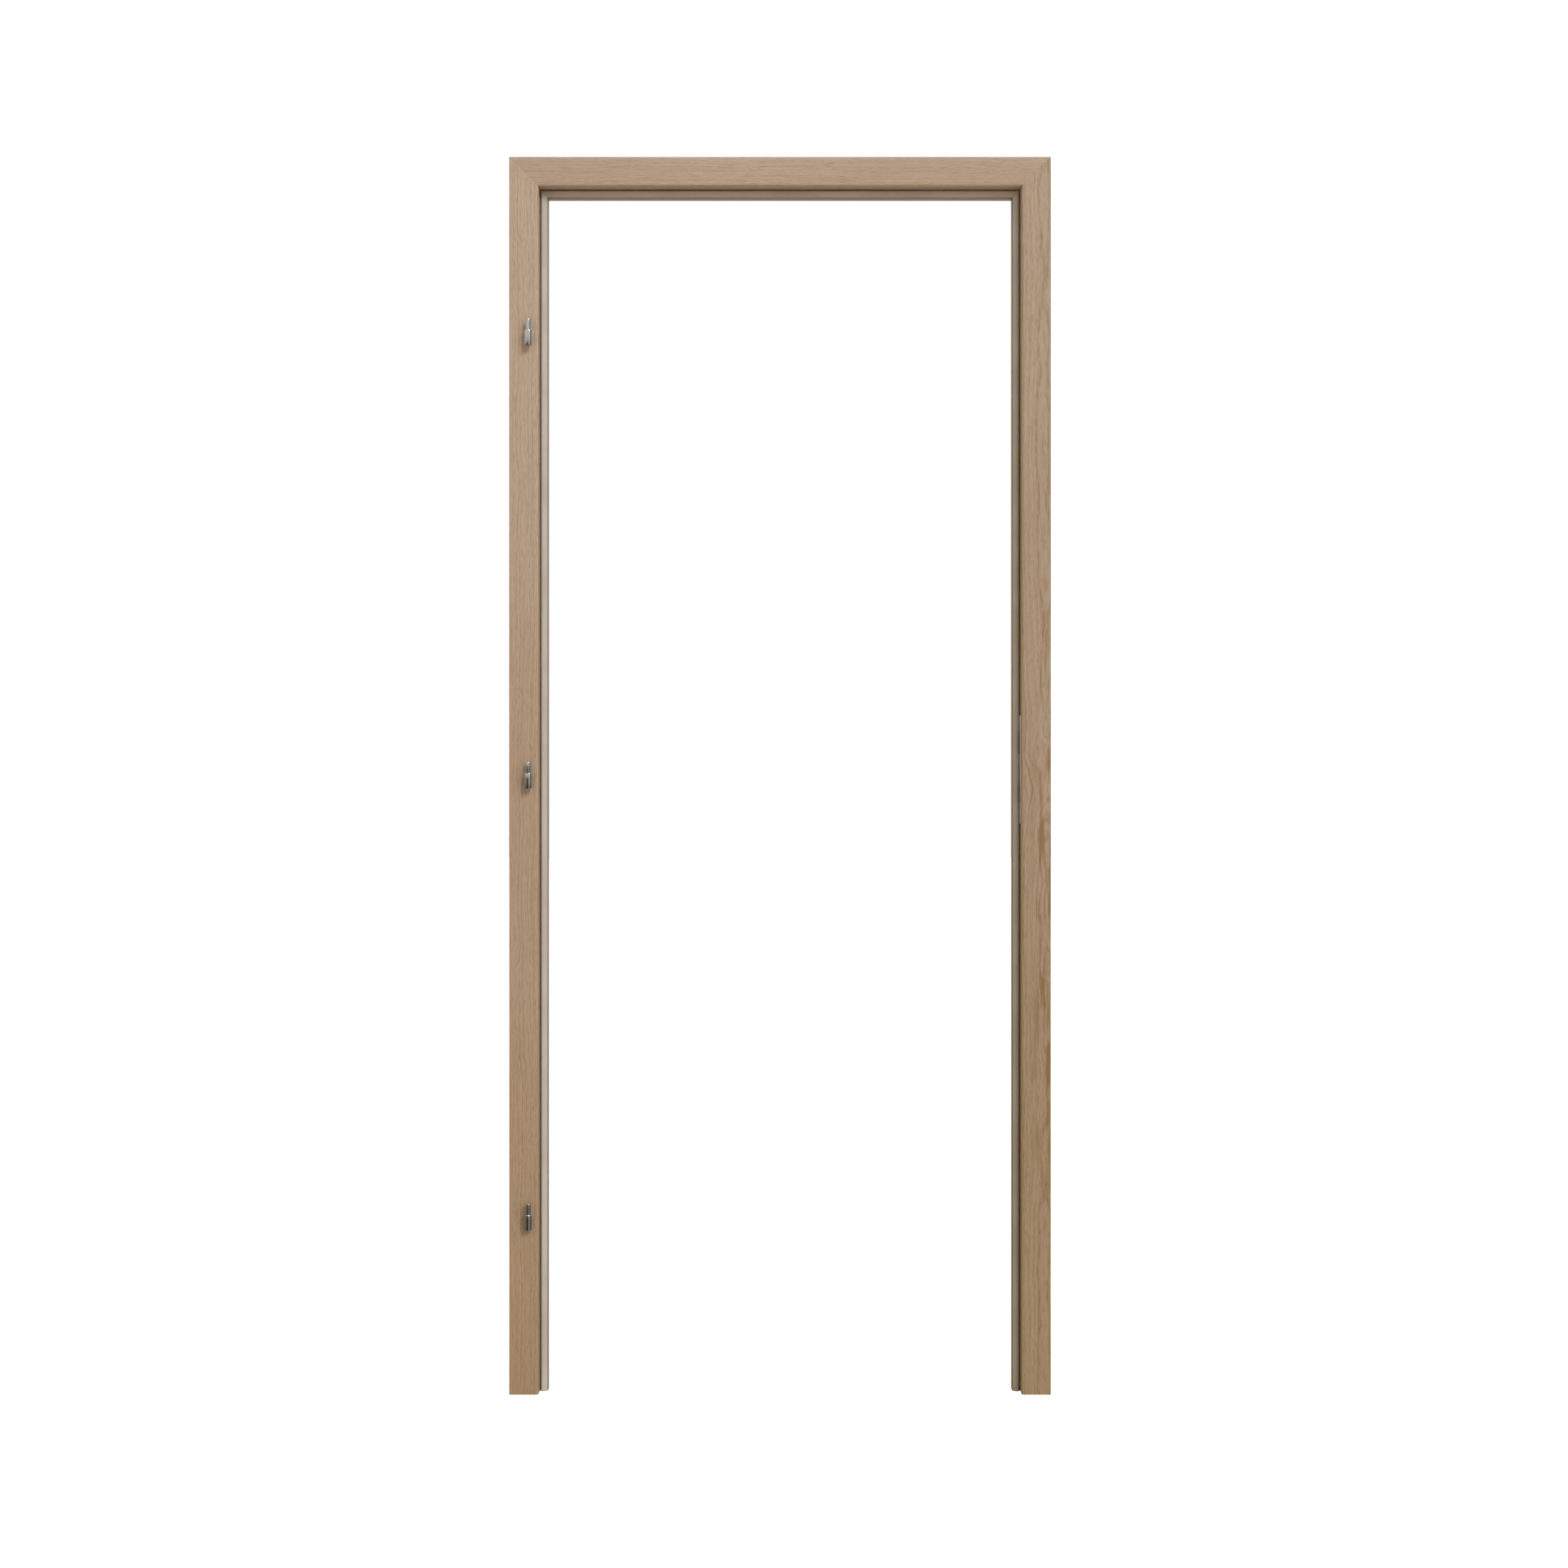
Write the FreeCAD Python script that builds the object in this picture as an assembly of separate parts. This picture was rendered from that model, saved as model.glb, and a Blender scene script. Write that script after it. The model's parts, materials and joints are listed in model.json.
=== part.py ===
import FreeCAD
import Part
import math
import os

from FreeCAD import Vector

# Oak door frame for a rebated leaf, with an adjustable lining behind it.
# Millimetres, +Z up, the floor at Z = 0, the face towards -Y, hinge side at -X.
# Every section is drawn as (inward, depth): inward from the outer edge of the casing
# towards the doorway, and depth back from the front face of the front casing.

# Doorway
clear_width = 800.0
clear_height = 2056.0

# Casing, rebate and stop
casing_width = 50.0
casing_thickness = 12.0
casing_outer_radius = 1.5
casing_inner_radius = 4.0
beam_seat_depth = 1.0
rebate_depth = 29.0
stop_height = 14.0
stop_thickness = 20.0
stop_radius = 1.0

# Beam board behind the casing, with the groove for the lining tongue
board_thickness = 24.0
groove_inset = 3.6
groove_floor = 2.0

# Adjustable rear lining
wall_thickness = 75.0
adjustment = 20.0
tongue_thickness = 7.0
tongue_clearance = 0.2
tongue_end_gap = 2.0
tongue_seat_depth = 5.0
tongue_edge_radius = 0.8

# Seal in the stop
seal_gap = 2.7
seal_width = 10.2
seal_outer_height = 6.1
seal_crown_height = 5.3
seal_inner_height = 2.7
seal_outer_radius = 1.4
seal_crown_radius = 14.0
seal_inner_radius = 0.8
seal_wall = 1.3
seal_crest_wall = 1.6
seal_toe_wall = 1.9
seal_stem_width = 3.0
seal_stem_length = 6.0
seal_stem_radius = 0.8
seal_slot_clearance = 0.3
seal_corner_lap = 5.3

# Hinges
hinge_inset = 16.0
hinge_projection = 11.0
upper_hinge_drop = 234.5
lower_hinge_height = 310.5
middle_hinge_drop = 1.5
barrel_diameter = 14.0
barrel_length = 26.5
barrel_edge_chamfer = 0.8
pin_diameter = 9.0
pin_length = 19.0
pin_edge_chamfer = 0.8
stem_diameter = 8.0
stem_length = 18.0
stem_clearance = 0.05
stem_end_gap = 1.0
stud_diameter = 6.0
stud_spacing = 13.0
stud_depth = 38.0
stud_seat = 2.4
hole_clearance = 0.1

# Strike plate, its screws and its dust box
strike_height = 1071.0
strike_length = 186.0
strike_width = 20.0
strike_thickness = 1.5
strike_corner_radius = 3.0
strike_lip_length = 100.0
strike_lip_gap = 0.1
latch_window_height = 39.0
latch_window_offset = 46.0
bolt_window_height = 32.0
bolt_window_offset = -42.0
window_width = 10.0
window_front = 4.0
window_radius = 1.5
strike_screw_inset = 8.0
strike_screw_diameter = 3.5
strike_screw_head = 7.0
strike_screw_length = 20.0
box_wall = 1.2
box_margin = 0.5
box_depth = 13.5
notch_margin = 1.8
notch_end_margin = 6.0

# Steel brackets over the beam corners
bracket_thickness = 2.0
bracket_width = 25.0
bracket_leg = 60.0
bracket_setback = 6.0
bracket_screw_diameter = 4.0
bracket_screw_head = 7.5
bracket_screw_length = 13.0
bracket_screw_positions = (22.0, 46.0)

# Flat mitre plates let into the backs of the casings
mitre_plate_thickness = 2.5
mitre_plate_width = 14.0
mitre_plate_inset = 6.0
mitre_plate_leg = 56.0
mitre_screw_diameter = 3.0
mitre_screw_head = 5.5
mitre_screw_length = 8.0
mitre_screw_positions = (30.0, 46.0)

# Screws and studs repeat many times, so each is drawn with few flats instead of a circle
fastener_flats = 10

# Sizes that follow from the ones above
outer_width = clear_width + 2 * (casing_width + stop_height)
outer_height = clear_height + casing_width + stop_height
stop_inward = casing_width + stop_height
beam_end = rebate_depth + stop_thickness
board_outer = casing_width - board_thickness
groove_width = tongue_thickness + 2 * tongue_clearance
groove_inner = casing_width - groove_inset
groove_outer = groove_inner - groove_width
beam_front = casing_thickness - beam_seat_depth
groove_front = casing_thickness + groove_floor
tongue_inner = groove_inner - tongue_clearance
tongue_outer = tongue_inner - tongue_thickness
tongue_front = groove_front + tongue_end_gap
rear_casing_front = casing_thickness + wall_thickness
rear_face = rear_casing_front + casing_thickness
tongue_back = rear_casing_front + tongue_seat_depth
seal_start = casing_width + seal_gap
seal_end = seal_start + seal_width
seal_stem_start = (seal_start + seal_end - seal_stem_width) / 2
seal_stem_end = seal_stem_start + seal_stem_width
seal_slot_start = seal_stem_start - seal_slot_clearance
seal_slot_end = seal_stem_end + seal_slot_clearance
seal_slot_floor = rebate_depth + seal_stem_length + seal_slot_clearance
hinge_inward = casing_width - hinge_inset
upper_hinge_height = clear_height - upper_hinge_drop
middle_hinge_height = (upper_hinge_height + lower_hinge_height) / 2 - middle_hinge_drop
stud_front = barrel_diameter / 2 - hinge_projection - stud_seat
strike_front = rebate_depth - strike_width
strike_surface = casing_width + strike_thickness
strike_bottom = strike_height - strike_length / 2
strike_top = strike_height + strike_length / 2
window_start = strike_front + window_front
window_end = window_start + window_width
box_front = window_start - box_margin - box_wall
box_back = window_end + box_margin + box_wall
box_low = strike_height + bolt_window_offset - bolt_window_height / 2 - box_margin - box_wall
box_high = strike_height + latch_window_offset + latch_window_height / 2 + box_margin + box_wall
bracket_inward = board_outer - bracket_thickness
bracket_front = casing_thickness + bracket_setback
front_most = -(hinge_projection + barrel_diameter / 2)
# The origin lies under the middle of the whole frame.
depth_origin = (front_most + rear_face) / 2
mitre_reach = stop_inward + casing_width

os.makedirs("parts", exist_ok=True)


def point(side, inward, depth, along=0.0):
    """Place a section point of one side at a distance along that side."""
    y = depth - depth_origin
    if side == "hinge":
        return Vector(inward - outer_width / 2, y, along)
    if side == "strike":
        return Vector(outer_width / 2 - inward, y, along)
    return Vector(along, y, outer_height - inward)


def rounded_wire(corners, place):
    """Draw a closed wire through (inward, depth, radius) corners with tangent arcs."""
    flat = [Vector(inward, depth, 0) for inward, depth, radius in corners]
    ends = []
    for i, (inward, depth, radius) in enumerate(corners):
        here = flat[i]
        if radius == 0:
            ends.append((here, None, here))
            continue
        back = (flat[i - 1] - here).normalize()
        ahead = (flat[(i + 1) % len(flat)] - here).normalize()
        half = back.getAngle(ahead) / 2
        reach = radius / math.tan(half)
        towards_centre = (back + ahead).normalize()
        middle = here + towards_centre * (radius / math.sin(half) - radius)
        ends.append((here + back * reach, middle, here + ahead * reach))
    edges = []
    for i, (first, middle, last) in enumerate(ends):
        if middle is not None:
            arc = Part.Arc(at(place, first), at(place, middle), at(place, last))
            edges.append(arc.toShape())
        following = ends[(i + 1) % len(ends)][0]
        if last.distanceToPoint(following) > 1e-6:
            edges.append(Part.LineSegment(at(place, last), at(place, following)).toShape())
    return Part.Wire(edges)


def at(place, flat_point):
    """Carry a flat section point into the model."""
    return place(flat_point.x, flat_point.y)


def side_length(side):
    """Length of a side from its start, before it is mitred."""
    return outer_width if side == "head" else outer_height


def run_of(side):
    """Start coordinate and direction of the run along a side."""
    if side == "head":
        return -outer_width / 2, Vector(1, 0, 0)
    return 0.0, Vector(0, 0, 1)


def mitre_prism(side):
    """The region that one side keeps at the corners, cut at 45 degrees."""
    half = outer_width / 2
    reach = mitre_reach
    if side == "head":
        outline = [(-half, outer_height), (half, outer_height)]
        outline += [(half - reach, outer_height - reach), (-half + reach, outer_height - reach)]
    else:
        sign = -1 if side == "hinge" else 1
        outline = [(sign * half, 0), (sign * half, outer_height)]
        outline += [(sign * (half - reach), outer_height - reach), (sign * (half - reach), 0)]
    return upright_prism(outline, front_most, rear_face)


def upright_prism(outline, front, back):
    """Extrude an outline of (x, z) points from one depth to another."""
    corners = [Vector(x, front - depth_origin, z) for x, z in outline]
    face = Part.Face(Part.makePolygon(corners + corners[:1]))
    return face.extrude(Vector(0, back - front, 0))


def sweep(side, corners):
    """Run a section the whole length of a side, with square ends."""
    start, direction = run_of(side)
    wire = rounded_wire(corners, lambda inward, depth: point(side, inward, depth, start))
    return Part.Face(wire).extrude(direction * side_length(side))


def member(side, corners):
    """Run a section along a side and mitre it at the corners."""
    return sweep(side, corners).common(mitre_prism(side))


def block(side, inward, depth, along):
    """A box between pairs of inward, depth and along values on one side."""
    low = point(side, inward[0], depth[0], along[0])
    high = point(side, inward[1], depth[1], along[1])
    corner = Vector(min(low.x, high.x), min(low.y, high.y), min(low.z, high.z))
    size = [abs(high.x - low.x), abs(high.y - low.y), abs(high.z - low.z)]
    return Part.makeBox(size[0], size[1], size[2], corner)


def inward_axis(side):
    """Direction from the outer edge of a side towards the doorway."""
    return {"hinge": Vector(1, 0, 0), "strike": Vector(-1, 0, 0), "head": Vector(0, 0, -1)}[side]


def ring(centre, direction, radius):
    """Corners of a regular polygon about an axis that runs along X, Y or Z."""
    across = Vector(direction.y, direction.z, direction.x)
    other = direction.cross(across)
    corners = []
    for i in range(fastener_flats):
        angle = 2 * math.pi * i / fastener_flats
        corners.append(centre + (across * math.cos(angle) + other * math.sin(angle)) * radius)
    return corners


def flat(corners):
    """A plane face inside a polygon."""
    return Part.Face(Part.makePolygon(corners + corners[:1]))


def faceted(rings):
    """The solid that runs through rings of corners, from a flat end to a flat end."""
    faces = [flat(rings[0]), flat(rings[-1])]
    for first, last in zip(rings, rings[1:]):
        for i in range(fastener_flats):
            faces.append(flat([first[i - 1], first[i], last[i], last[i - 1]]))
    solid = Part.Solid(Part.Shell(faces))
    return solid if solid.Volume > 0 else solid.reversed()


def rod(start, direction, radius, length):
    """A straight rod with flats."""
    return flat(ring(start, direction, radius)).extrude(direction * length)


def countersunk(head_centre, direction, radius, head_radius, length):
    """A rod whose head tapers at 45 degrees from a face down to the rod's radius."""
    neck = head_centre + direction * (head_radius - radius)
    end = head_centre + direction * length
    return faceted([
        ring(head_centre, direction, head_radius),
        ring(neck, direction, radius),
        ring(end, direction, radius),
    ])


def screw(head_centre, direction, diameter, head, length):
    """A countersunk screw with its flat head at a face, pointing into the work."""
    return countersunk(head_centre, direction, diameter / 2, head / 2, length)


def screw_hole(head_centre, direction, diameter, head, length):
    """The pilot and countersink for a screw, with the hole clearance all round."""
    radius = diameter / 2 + hole_clearance
    head_radius = head / 2 + hole_clearance
    return countersunk(head_centre, direction, radius, head_radius, length + hole_clearance)


def beam_section():
    """Board, groove and stop as one section."""
    return [
        (board_outer, beam_front, 0),
        (casing_width, beam_front, 0),
        (casing_width, rebate_depth, 0),
        (seal_slot_start, rebate_depth, 0),
        (seal_slot_start, seal_slot_floor, 0),
        (seal_slot_end, seal_slot_floor, 0),
        (seal_slot_end, rebate_depth, 0),
        (stop_inward, rebate_depth, stop_radius),
        (stop_inward, beam_end, stop_radius),
        (groove_inner, beam_end, 0),
        (groove_inner, groove_front, 0),
        (groove_outer, groove_front, 0),
        (groove_outer, beam_end, 0),
        (board_outer, beam_end, 0),
    ]


def front_casing_section():
    """Flat casing, rounded more at the rebate, with a seat for the beam in its back."""
    return [
        (0, 0, casing_outer_radius),
        (casing_width, 0, casing_inner_radius),
        (casing_width, beam_front, 0),
        (board_outer, beam_front, 0),
        (board_outer, casing_thickness, 0),
        (0, casing_thickness, 0),
    ]


def rear_casing_section():
    """The same casing turned to the back, with a groove for the lining tongue."""
    return [
        (0, rear_casing_front, 0),
        (tongue_outer, rear_casing_front, 0),
        (tongue_outer, tongue_back, 0),
        (tongue_inner, tongue_back, 0),
        (tongue_inner, rear_casing_front, 0),
        (casing_width, rear_casing_front, 0),
        (casing_width, rear_face, casing_inner_radius),
        (0, rear_face, casing_outer_radius),
    ]


def tongue_section():
    """Lining tongue that slides in the groove of the beam."""
    return [
        (tongue_outer, tongue_front, tongue_edge_radius),
        (tongue_inner, tongue_front, tongue_edge_radius),
        (tongue_inner, tongue_back, 0),
        (tongue_outer, tongue_back, 0),
    ]


def seal_section():
    """Outer contour of the seal, with its stem in the slot of the stop."""
    crown = (seal_start + seal_end) / 2
    return [
        (seal_start, rebate_depth, 0),
        (seal_start, rebate_depth - seal_outer_height, seal_outer_radius),
        (crown, rebate_depth - seal_crown_height, seal_crown_radius),
        (seal_end, rebate_depth - seal_inner_height, seal_inner_radius),
        (seal_end, rebate_depth, 0),
        (seal_stem_end, rebate_depth, 0),
        (seal_stem_end, rebate_depth + seal_stem_length, seal_stem_radius),
        (seal_stem_start, rebate_depth + seal_stem_length, seal_stem_radius),
        (seal_stem_start, rebate_depth, 0),
    ]


def seal_chamber():
    """The hollow of the seal, one wall inside its contour."""
    crown = (seal_start + seal_end) / 2
    inner_slope = seal_crown_height - seal_wall
    return [
        (seal_start + seal_wall, rebate_depth - seal_wall, 0),
        (seal_start + seal_wall, rebate_depth - seal_outer_height + seal_crest_wall, 0),
        (crown, rebate_depth - inner_slope, 0),
        (seal_end - seal_toe_wall, rebate_depth - seal_wall, 0),
    ]


def seal_region(side):
    """The part of the corner that a seal fills: its bulb laps, its stem is mitred."""
    half = outer_width / 2
    stem = mitre_prism(side)
    lap_x = half - seal_end + seal_corner_lap
    corner = [(lap_x, outer_height - seal_start), (half - seal_end, outer_height - seal_end)]
    if side == "hinge":
        return stem
    if side == "strike":
        outline = [(half, 0), (half, outer_height - seal_start)]
        outline += corner + [(half - mitre_reach, outer_height - seal_end)]
        outline += [(half - mitre_reach, 0)]
    else:
        outline = [(-half, outer_height), (lap_x, outer_height)] + corner
        outline += [(half - seal_end, outer_height - mitre_reach)]
        outline += [(-half + mitre_reach, outer_height - mitre_reach)]
    bulb = upright_prism(outline, front_most, rebate_depth)
    behind = upright_prism(full_outline(), rebate_depth, rear_face)
    return bulb.fuse(stem.common(behind))


def full_outline():
    """Corners of the whole frame as (x, z) points."""
    half = outer_width / 2
    return [(-half, 0), (-half, outer_height), (half, outer_height), (half, 0)]


def make_seal(side):
    """Hollow seal of one side."""
    solid = sweep(side, seal_section()).cut(sweep(side, seal_chamber()))
    return solid.common(seal_region(side))


def turned(corners, axis_point):
    """Turn a (radius, height, fillet) outline about an upright axis."""
    wire = rounded_wire(corners, lambda r, z: axis_point + Vector(r, 0, z))
    return Part.Face(wire).revolve(axis_point, Vector(0, 0, 1), 360)


def hinge_point(height):
    """The place on a hinge's axis where its pin leaves the barrel."""
    return point("hinge", hinge_inward, -hinge_projection, height)


def stud_places(height):
    """Front ends of the two studs of one hinge."""
    middle = height - barrel_length / 2
    heights = (middle - stud_spacing / 2, middle + stud_spacing / 2)
    return [point("hinge", hinge_inward, stud_front, z) for z in heights]


def studs(height, clearance=0.0):
    """Two studs that run from the barrel through the casing into the beam."""
    length = stud_depth - stud_front + 2 * clearance
    radius = stud_diameter / 2 + clearance
    back = Vector(0, 1, 0)
    starts = [place - back * clearance for place in stud_places(height)]
    return Part.Compound([rod(start, back, radius, length) for start in starts])


def make_barrel(height):
    """Hinge barrel, bored from the top for the stem of its pin."""
    outside = barrel_diameter / 2
    bore = stem_diameter / 2 + stem_clearance
    floor = -stem_length - stem_end_gap
    outline = [
        (0, -barrel_length, 0),
        (outside - barrel_edge_chamfer, -barrel_length, 0),
        (outside, barrel_edge_chamfer - barrel_length, 0),
        (outside, -barrel_edge_chamfer, 0),
        (outside - barrel_edge_chamfer, 0, 0),
        (bore, 0, 0),
        (bore, floor, 0),
        (0, floor, 0),
    ]
    return turned(outline, hinge_point(height)).cut(studs(height, hole_clearance))


def make_pin(height):
    """Hinge pin: a stem in the barrel and a wider free end for the leaf's knuckle."""
    outline = [
        (0, -stem_length, 0),
        (stem_diameter / 2, -stem_length, 0),
        (stem_diameter / 2, 0, 0),
        (pin_diameter / 2, 0, 0),
        (pin_diameter / 2, pin_length - pin_edge_chamfer, 0),
        (pin_diameter / 2 - pin_edge_chamfer, pin_length, 0),
        (0, pin_length, 0),
    ]
    return turned(outline, hinge_point(height))


def strike_panel(corners, thickness):
    """A plate drawn as (depth, height, radius) corners on the strike-side rebate."""
    wire = rounded_wire(corners, lambda v, z: point("strike", casing_width, v, z))
    return Part.Face(wire).extrude(inward_axis("strike") * thickness)


def window(offset, height):
    """Tool that cuts one window through the strike plate and its lip."""
    low = strike_height + offset - height / 2
    high = low + height
    corners = [
        (window_start, low, window_radius),
        (window_end, low, window_radius),
        (window_end, high, window_radius),
        (window_start, high, window_radius),
    ]
    return strike_panel(corners, seal_gap)


def strike_screws(make):
    """Screws, or their holes, at both ends of the strike plate."""
    depth = (strike_front + rebate_depth) / 2
    heights = (strike_bottom + strike_screw_inset, strike_top - strike_screw_inset)
    outward = inward_axis("strike") * -1
    sizes = (strike_screw_diameter, strike_screw_head, strike_screw_length)
    places = [point("strike", strike_surface, depth, z) for z in heights]
    return Part.Compound([make(place, outward, *sizes) for place in places])


def make_strike_plate():
    """Angled strike plate with a latch window and a bolt window."""
    outline = [
        (strike_front, strike_bottom, strike_corner_radius),
        (rebate_depth, strike_bottom, 0),
        (rebate_depth, strike_top, 0),
        (strike_front, strike_top, strike_corner_radius),
    ]
    plate = strike_panel(outline, strike_thickness)
    lip_inward = (casing_width, seal_start - strike_lip_gap)
    lip_depth = (rebate_depth - strike_thickness, rebate_depth)
    lip = block("strike", lip_inward, lip_depth, (strike_top - strike_lip_length, strike_top))
    latch_low = strike_height + latch_window_offset - latch_window_height / 2
    lip_cut = (strike_surface, seal_start)
    latch_gap = (latch_low, latch_low + latch_window_height)
    plate = plate.fuse(lip.cut(block("strike", lip_cut, lip_depth, latch_gap)))
    plate = plate.cut(window(latch_window_offset, latch_window_height))
    plate = plate.cut(window(bolt_window_offset, bolt_window_height))
    return plate.cut(strike_screws(screw_hole)).removeSplitter()


def make_dust_box():
    """Open-fronted box behind the strike plate that takes the latch and the bolt."""
    inward = (casing_width - box_depth, casing_width)
    outer = block("strike", inward, (box_front, box_back), (box_low, box_high))
    cavity = block(
        "strike",
        (inward[0] + box_wall, casing_width),
        (box_front + box_wall, box_back - box_wall),
        (box_low + box_wall, box_high - box_wall),
    )
    return outer.cut(cavity)


def box_mortise():
    """Mortise in the beam for the dust box."""
    gap = hole_clearance
    return block(
        "strike",
        (casing_width - box_depth - gap, casing_width),
        (box_front - gap, box_back + gap),
        (box_low - gap, box_high + gap),
    )


def tongue_notch():
    """Notch that keeps the sliding tongue clear of the dust box and its screws."""
    return block(
        "strike",
        (tongue_outer, tongue_inner),
        (tongue_front, box_back + notch_margin),
        (strike_bottom - notch_end_margin, strike_top + notch_end_margin),
    )


def corner_angle(side, near, far, width, front, back, margin=0.0, bend=0.0):
    """An L over one corner: near is its outer edge, far the end of each leg."""
    sign = -1 if side == "hinge" else 1
    low = near - margin
    high = near + width + margin
    end = far + margin
    outline = [
        (low, low, bend),
        (end, low, 0),
        (end, high, 0),
        (high, high, 0),
        (high, end, 0),
        (low, end, 0),
    ]

    def place(across, down):
        x = sign * (outer_width / 2 - across)
        return Vector(x, front - depth_origin, outer_height - down)

    return Part.Face(rounded_wire(outline, place)).extrude(Vector(0, back - front, 0))


def make_bracket(side):
    """Steel angle that ties the jamb beam to the head beam over their corner."""
    end = bracket_inward + bracket_leg
    back = bracket_front + bracket_width
    angle = corner_angle(
        side, bracket_inward, end, bracket_thickness, bracket_front, back, 0, bracket_thickness
    )
    return angle.cut(bracket_screws(side, screw_hole))


def bracket_screws(side, make):
    """Screws, or their holes, in both legs of one bracket."""
    depth = bracket_front + bracket_width / 2
    sizes = (bracket_screw_diameter, bracket_screw_head, bracket_screw_length)
    sign = -1 if side == "hinge" else 1
    pieces = []
    for distance in bracket_screw_positions:
        down = outer_height - bracket_inward - distance
        across = sign * (outer_width / 2 - bracket_inward - distance)
        on_jamb = point(side, bracket_inward, depth, down)
        on_head = point("head", bracket_inward, depth, across)
        pieces.append(make(on_jamb, inward_axis(side), *sizes))
        pieces.append(make(on_head, inward_axis("head"), *sizes))
    return Part.Compound(pieces)


def mitre_plate(side, face, into, margin=0.0):
    """Flat L let into the back of the casings, from their face into the wood."""
    depth = face + into * (mitre_plate_thickness + margin)
    front, back = min(face, depth), max(face, depth)
    return corner_angle(
        side, mitre_plate_inset, mitre_plate_leg, mitre_plate_width, front, back, margin
    )


def mitre_screws(side, face, into, make):
    """Screws, or their holes, that hold one mitre plate in the casings."""
    sizes = (mitre_screw_diameter, mitre_screw_head, mitre_screw_length)
    line = mitre_plate_inset + mitre_plate_width / 2
    sign = -1 if side == "hinge" else 1
    pieces = []
    for distance in mitre_screw_positions:
        on_jamb = point(side, line, face, outer_height - distance)
        on_head = point("head", line, face, sign * (outer_width / 2 - distance))
        pieces.append(make(on_jamb, Vector(0, into, 0), *sizes))
        pieces.append(make(on_head, Vector(0, into, 0), *sizes))
    return Part.Compound(pieces)


sides = ("hinge", "strike", "head")
corner_sides = ("hinge", "strike")
hinge_heights = {
    "upper": upper_hinge_height,
    "middle": middle_hinge_height,
    "lower": lower_hinge_height,
}
member_names = {"hinge": "hinge_side", "strike": "strike_side", "head": "head"}
# Each casing layer: its section, the face that meets the wall, and the way into the wood
casing_layers = {
    "front": (front_casing_section(), casing_thickness, -1),
    "rear": (rear_casing_section(), rear_casing_front, 1),
}

nodes = {}

for side in sides:
    beam = member(side, beam_section())
    for corner in corner_sides:
        beam = beam.cut(bracket_screws(corner, screw_hole))
    tongue = member(side, tongue_section())
    if side == "strike":
        beam = beam.cut(box_mortise()).cut(strike_screws(screw_hole))
        tongue = tongue.cut(tongue_notch())
    if side == "hinge":
        for height in hinge_heights.values():
            beam = beam.cut(studs(height, hole_clearance))
    nodes[member_names[side] + "_beam"] = beam
    nodes[member_names[side] + "_lining_tongue"] = tongue
    nodes[member_names[side] + "_seal"] = make_seal(side)

for layer, (section, face, into) in casing_layers.items():
    for side in sides:
        casing = member(side, section)
        for corner in corner_sides:
            casing = casing.cut(mitre_plate(corner, face, into, hole_clearance))
            casing = casing.cut(mitre_screws(corner, face, into, screw_hole))
        if side == "hinge" and layer == "front":
            for height in hinge_heights.values():
                casing = casing.cut(studs(height, hole_clearance))
        nodes[member_names[side] + "_" + layer + "_casing"] = casing
    fixings = []
    for corner in corner_sides:
        plate = mitre_plate(corner, face, into)
        plate = plate.cut(mitre_screws(corner, face, into, screw_hole))
        nodes[corner + "_side_" + layer + "_mitre_plate"] = plate
        fixings += mitre_screws(corner, face, into, screw).Solids
    nodes[layer + "_mitre_screws"] = Part.Compound(fixings)

for name, height in hinge_heights.items():
    nodes[name + "_hinge_barrel"] = make_barrel(height)
    nodes[name + "_hinge_pin"] = make_pin(height)
    nodes[name + "_hinge_studs"] = studs(height)

nodes["strike_plate"] = make_strike_plate()
nodes["strike_screws"] = strike_screws(screw)
nodes["strike_dust_box"] = make_dust_box()

bracket_fixings = []
for corner in corner_sides:
    nodes[corner + "_side_corner_bracket"] = make_bracket(corner)
    bracket_fixings += bracket_screws(corner, screw).Solids
nodes["corner_bracket_screws"] = Part.Compound(bracket_fixings)

for name, shape in nodes.items():
    shape.exportStep("parts/" + name + ".step")
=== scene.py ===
"""Looks of an oak door frame: casings, beams, seals, hinges, strike plate and adjustable lining."""

import sys

import json
import logging
import math
from dataclasses import asdict, dataclass, field
from enum import Enum
from functools import partialmethod

import bmesh
import bpy
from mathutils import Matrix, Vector

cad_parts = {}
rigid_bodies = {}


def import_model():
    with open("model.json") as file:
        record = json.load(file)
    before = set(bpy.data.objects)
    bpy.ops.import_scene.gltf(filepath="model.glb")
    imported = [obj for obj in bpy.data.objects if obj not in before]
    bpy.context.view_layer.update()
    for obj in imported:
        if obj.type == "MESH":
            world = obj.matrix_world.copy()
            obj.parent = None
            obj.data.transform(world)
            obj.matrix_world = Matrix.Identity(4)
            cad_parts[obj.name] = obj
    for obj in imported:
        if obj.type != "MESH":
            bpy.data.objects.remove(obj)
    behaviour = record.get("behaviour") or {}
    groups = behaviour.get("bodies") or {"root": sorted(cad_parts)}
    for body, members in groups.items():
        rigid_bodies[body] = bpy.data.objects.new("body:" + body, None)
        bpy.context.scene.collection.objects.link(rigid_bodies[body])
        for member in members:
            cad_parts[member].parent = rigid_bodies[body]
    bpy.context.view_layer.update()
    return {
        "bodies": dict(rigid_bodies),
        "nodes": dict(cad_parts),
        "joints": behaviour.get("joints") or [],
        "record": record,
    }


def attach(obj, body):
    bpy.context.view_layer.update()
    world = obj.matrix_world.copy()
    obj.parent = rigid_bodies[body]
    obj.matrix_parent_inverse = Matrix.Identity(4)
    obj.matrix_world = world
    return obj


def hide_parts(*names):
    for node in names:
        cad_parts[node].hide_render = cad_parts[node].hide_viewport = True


LOG = logging.getLogger("door_frame")
MM = 0.001
WELD = 1e-6

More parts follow.
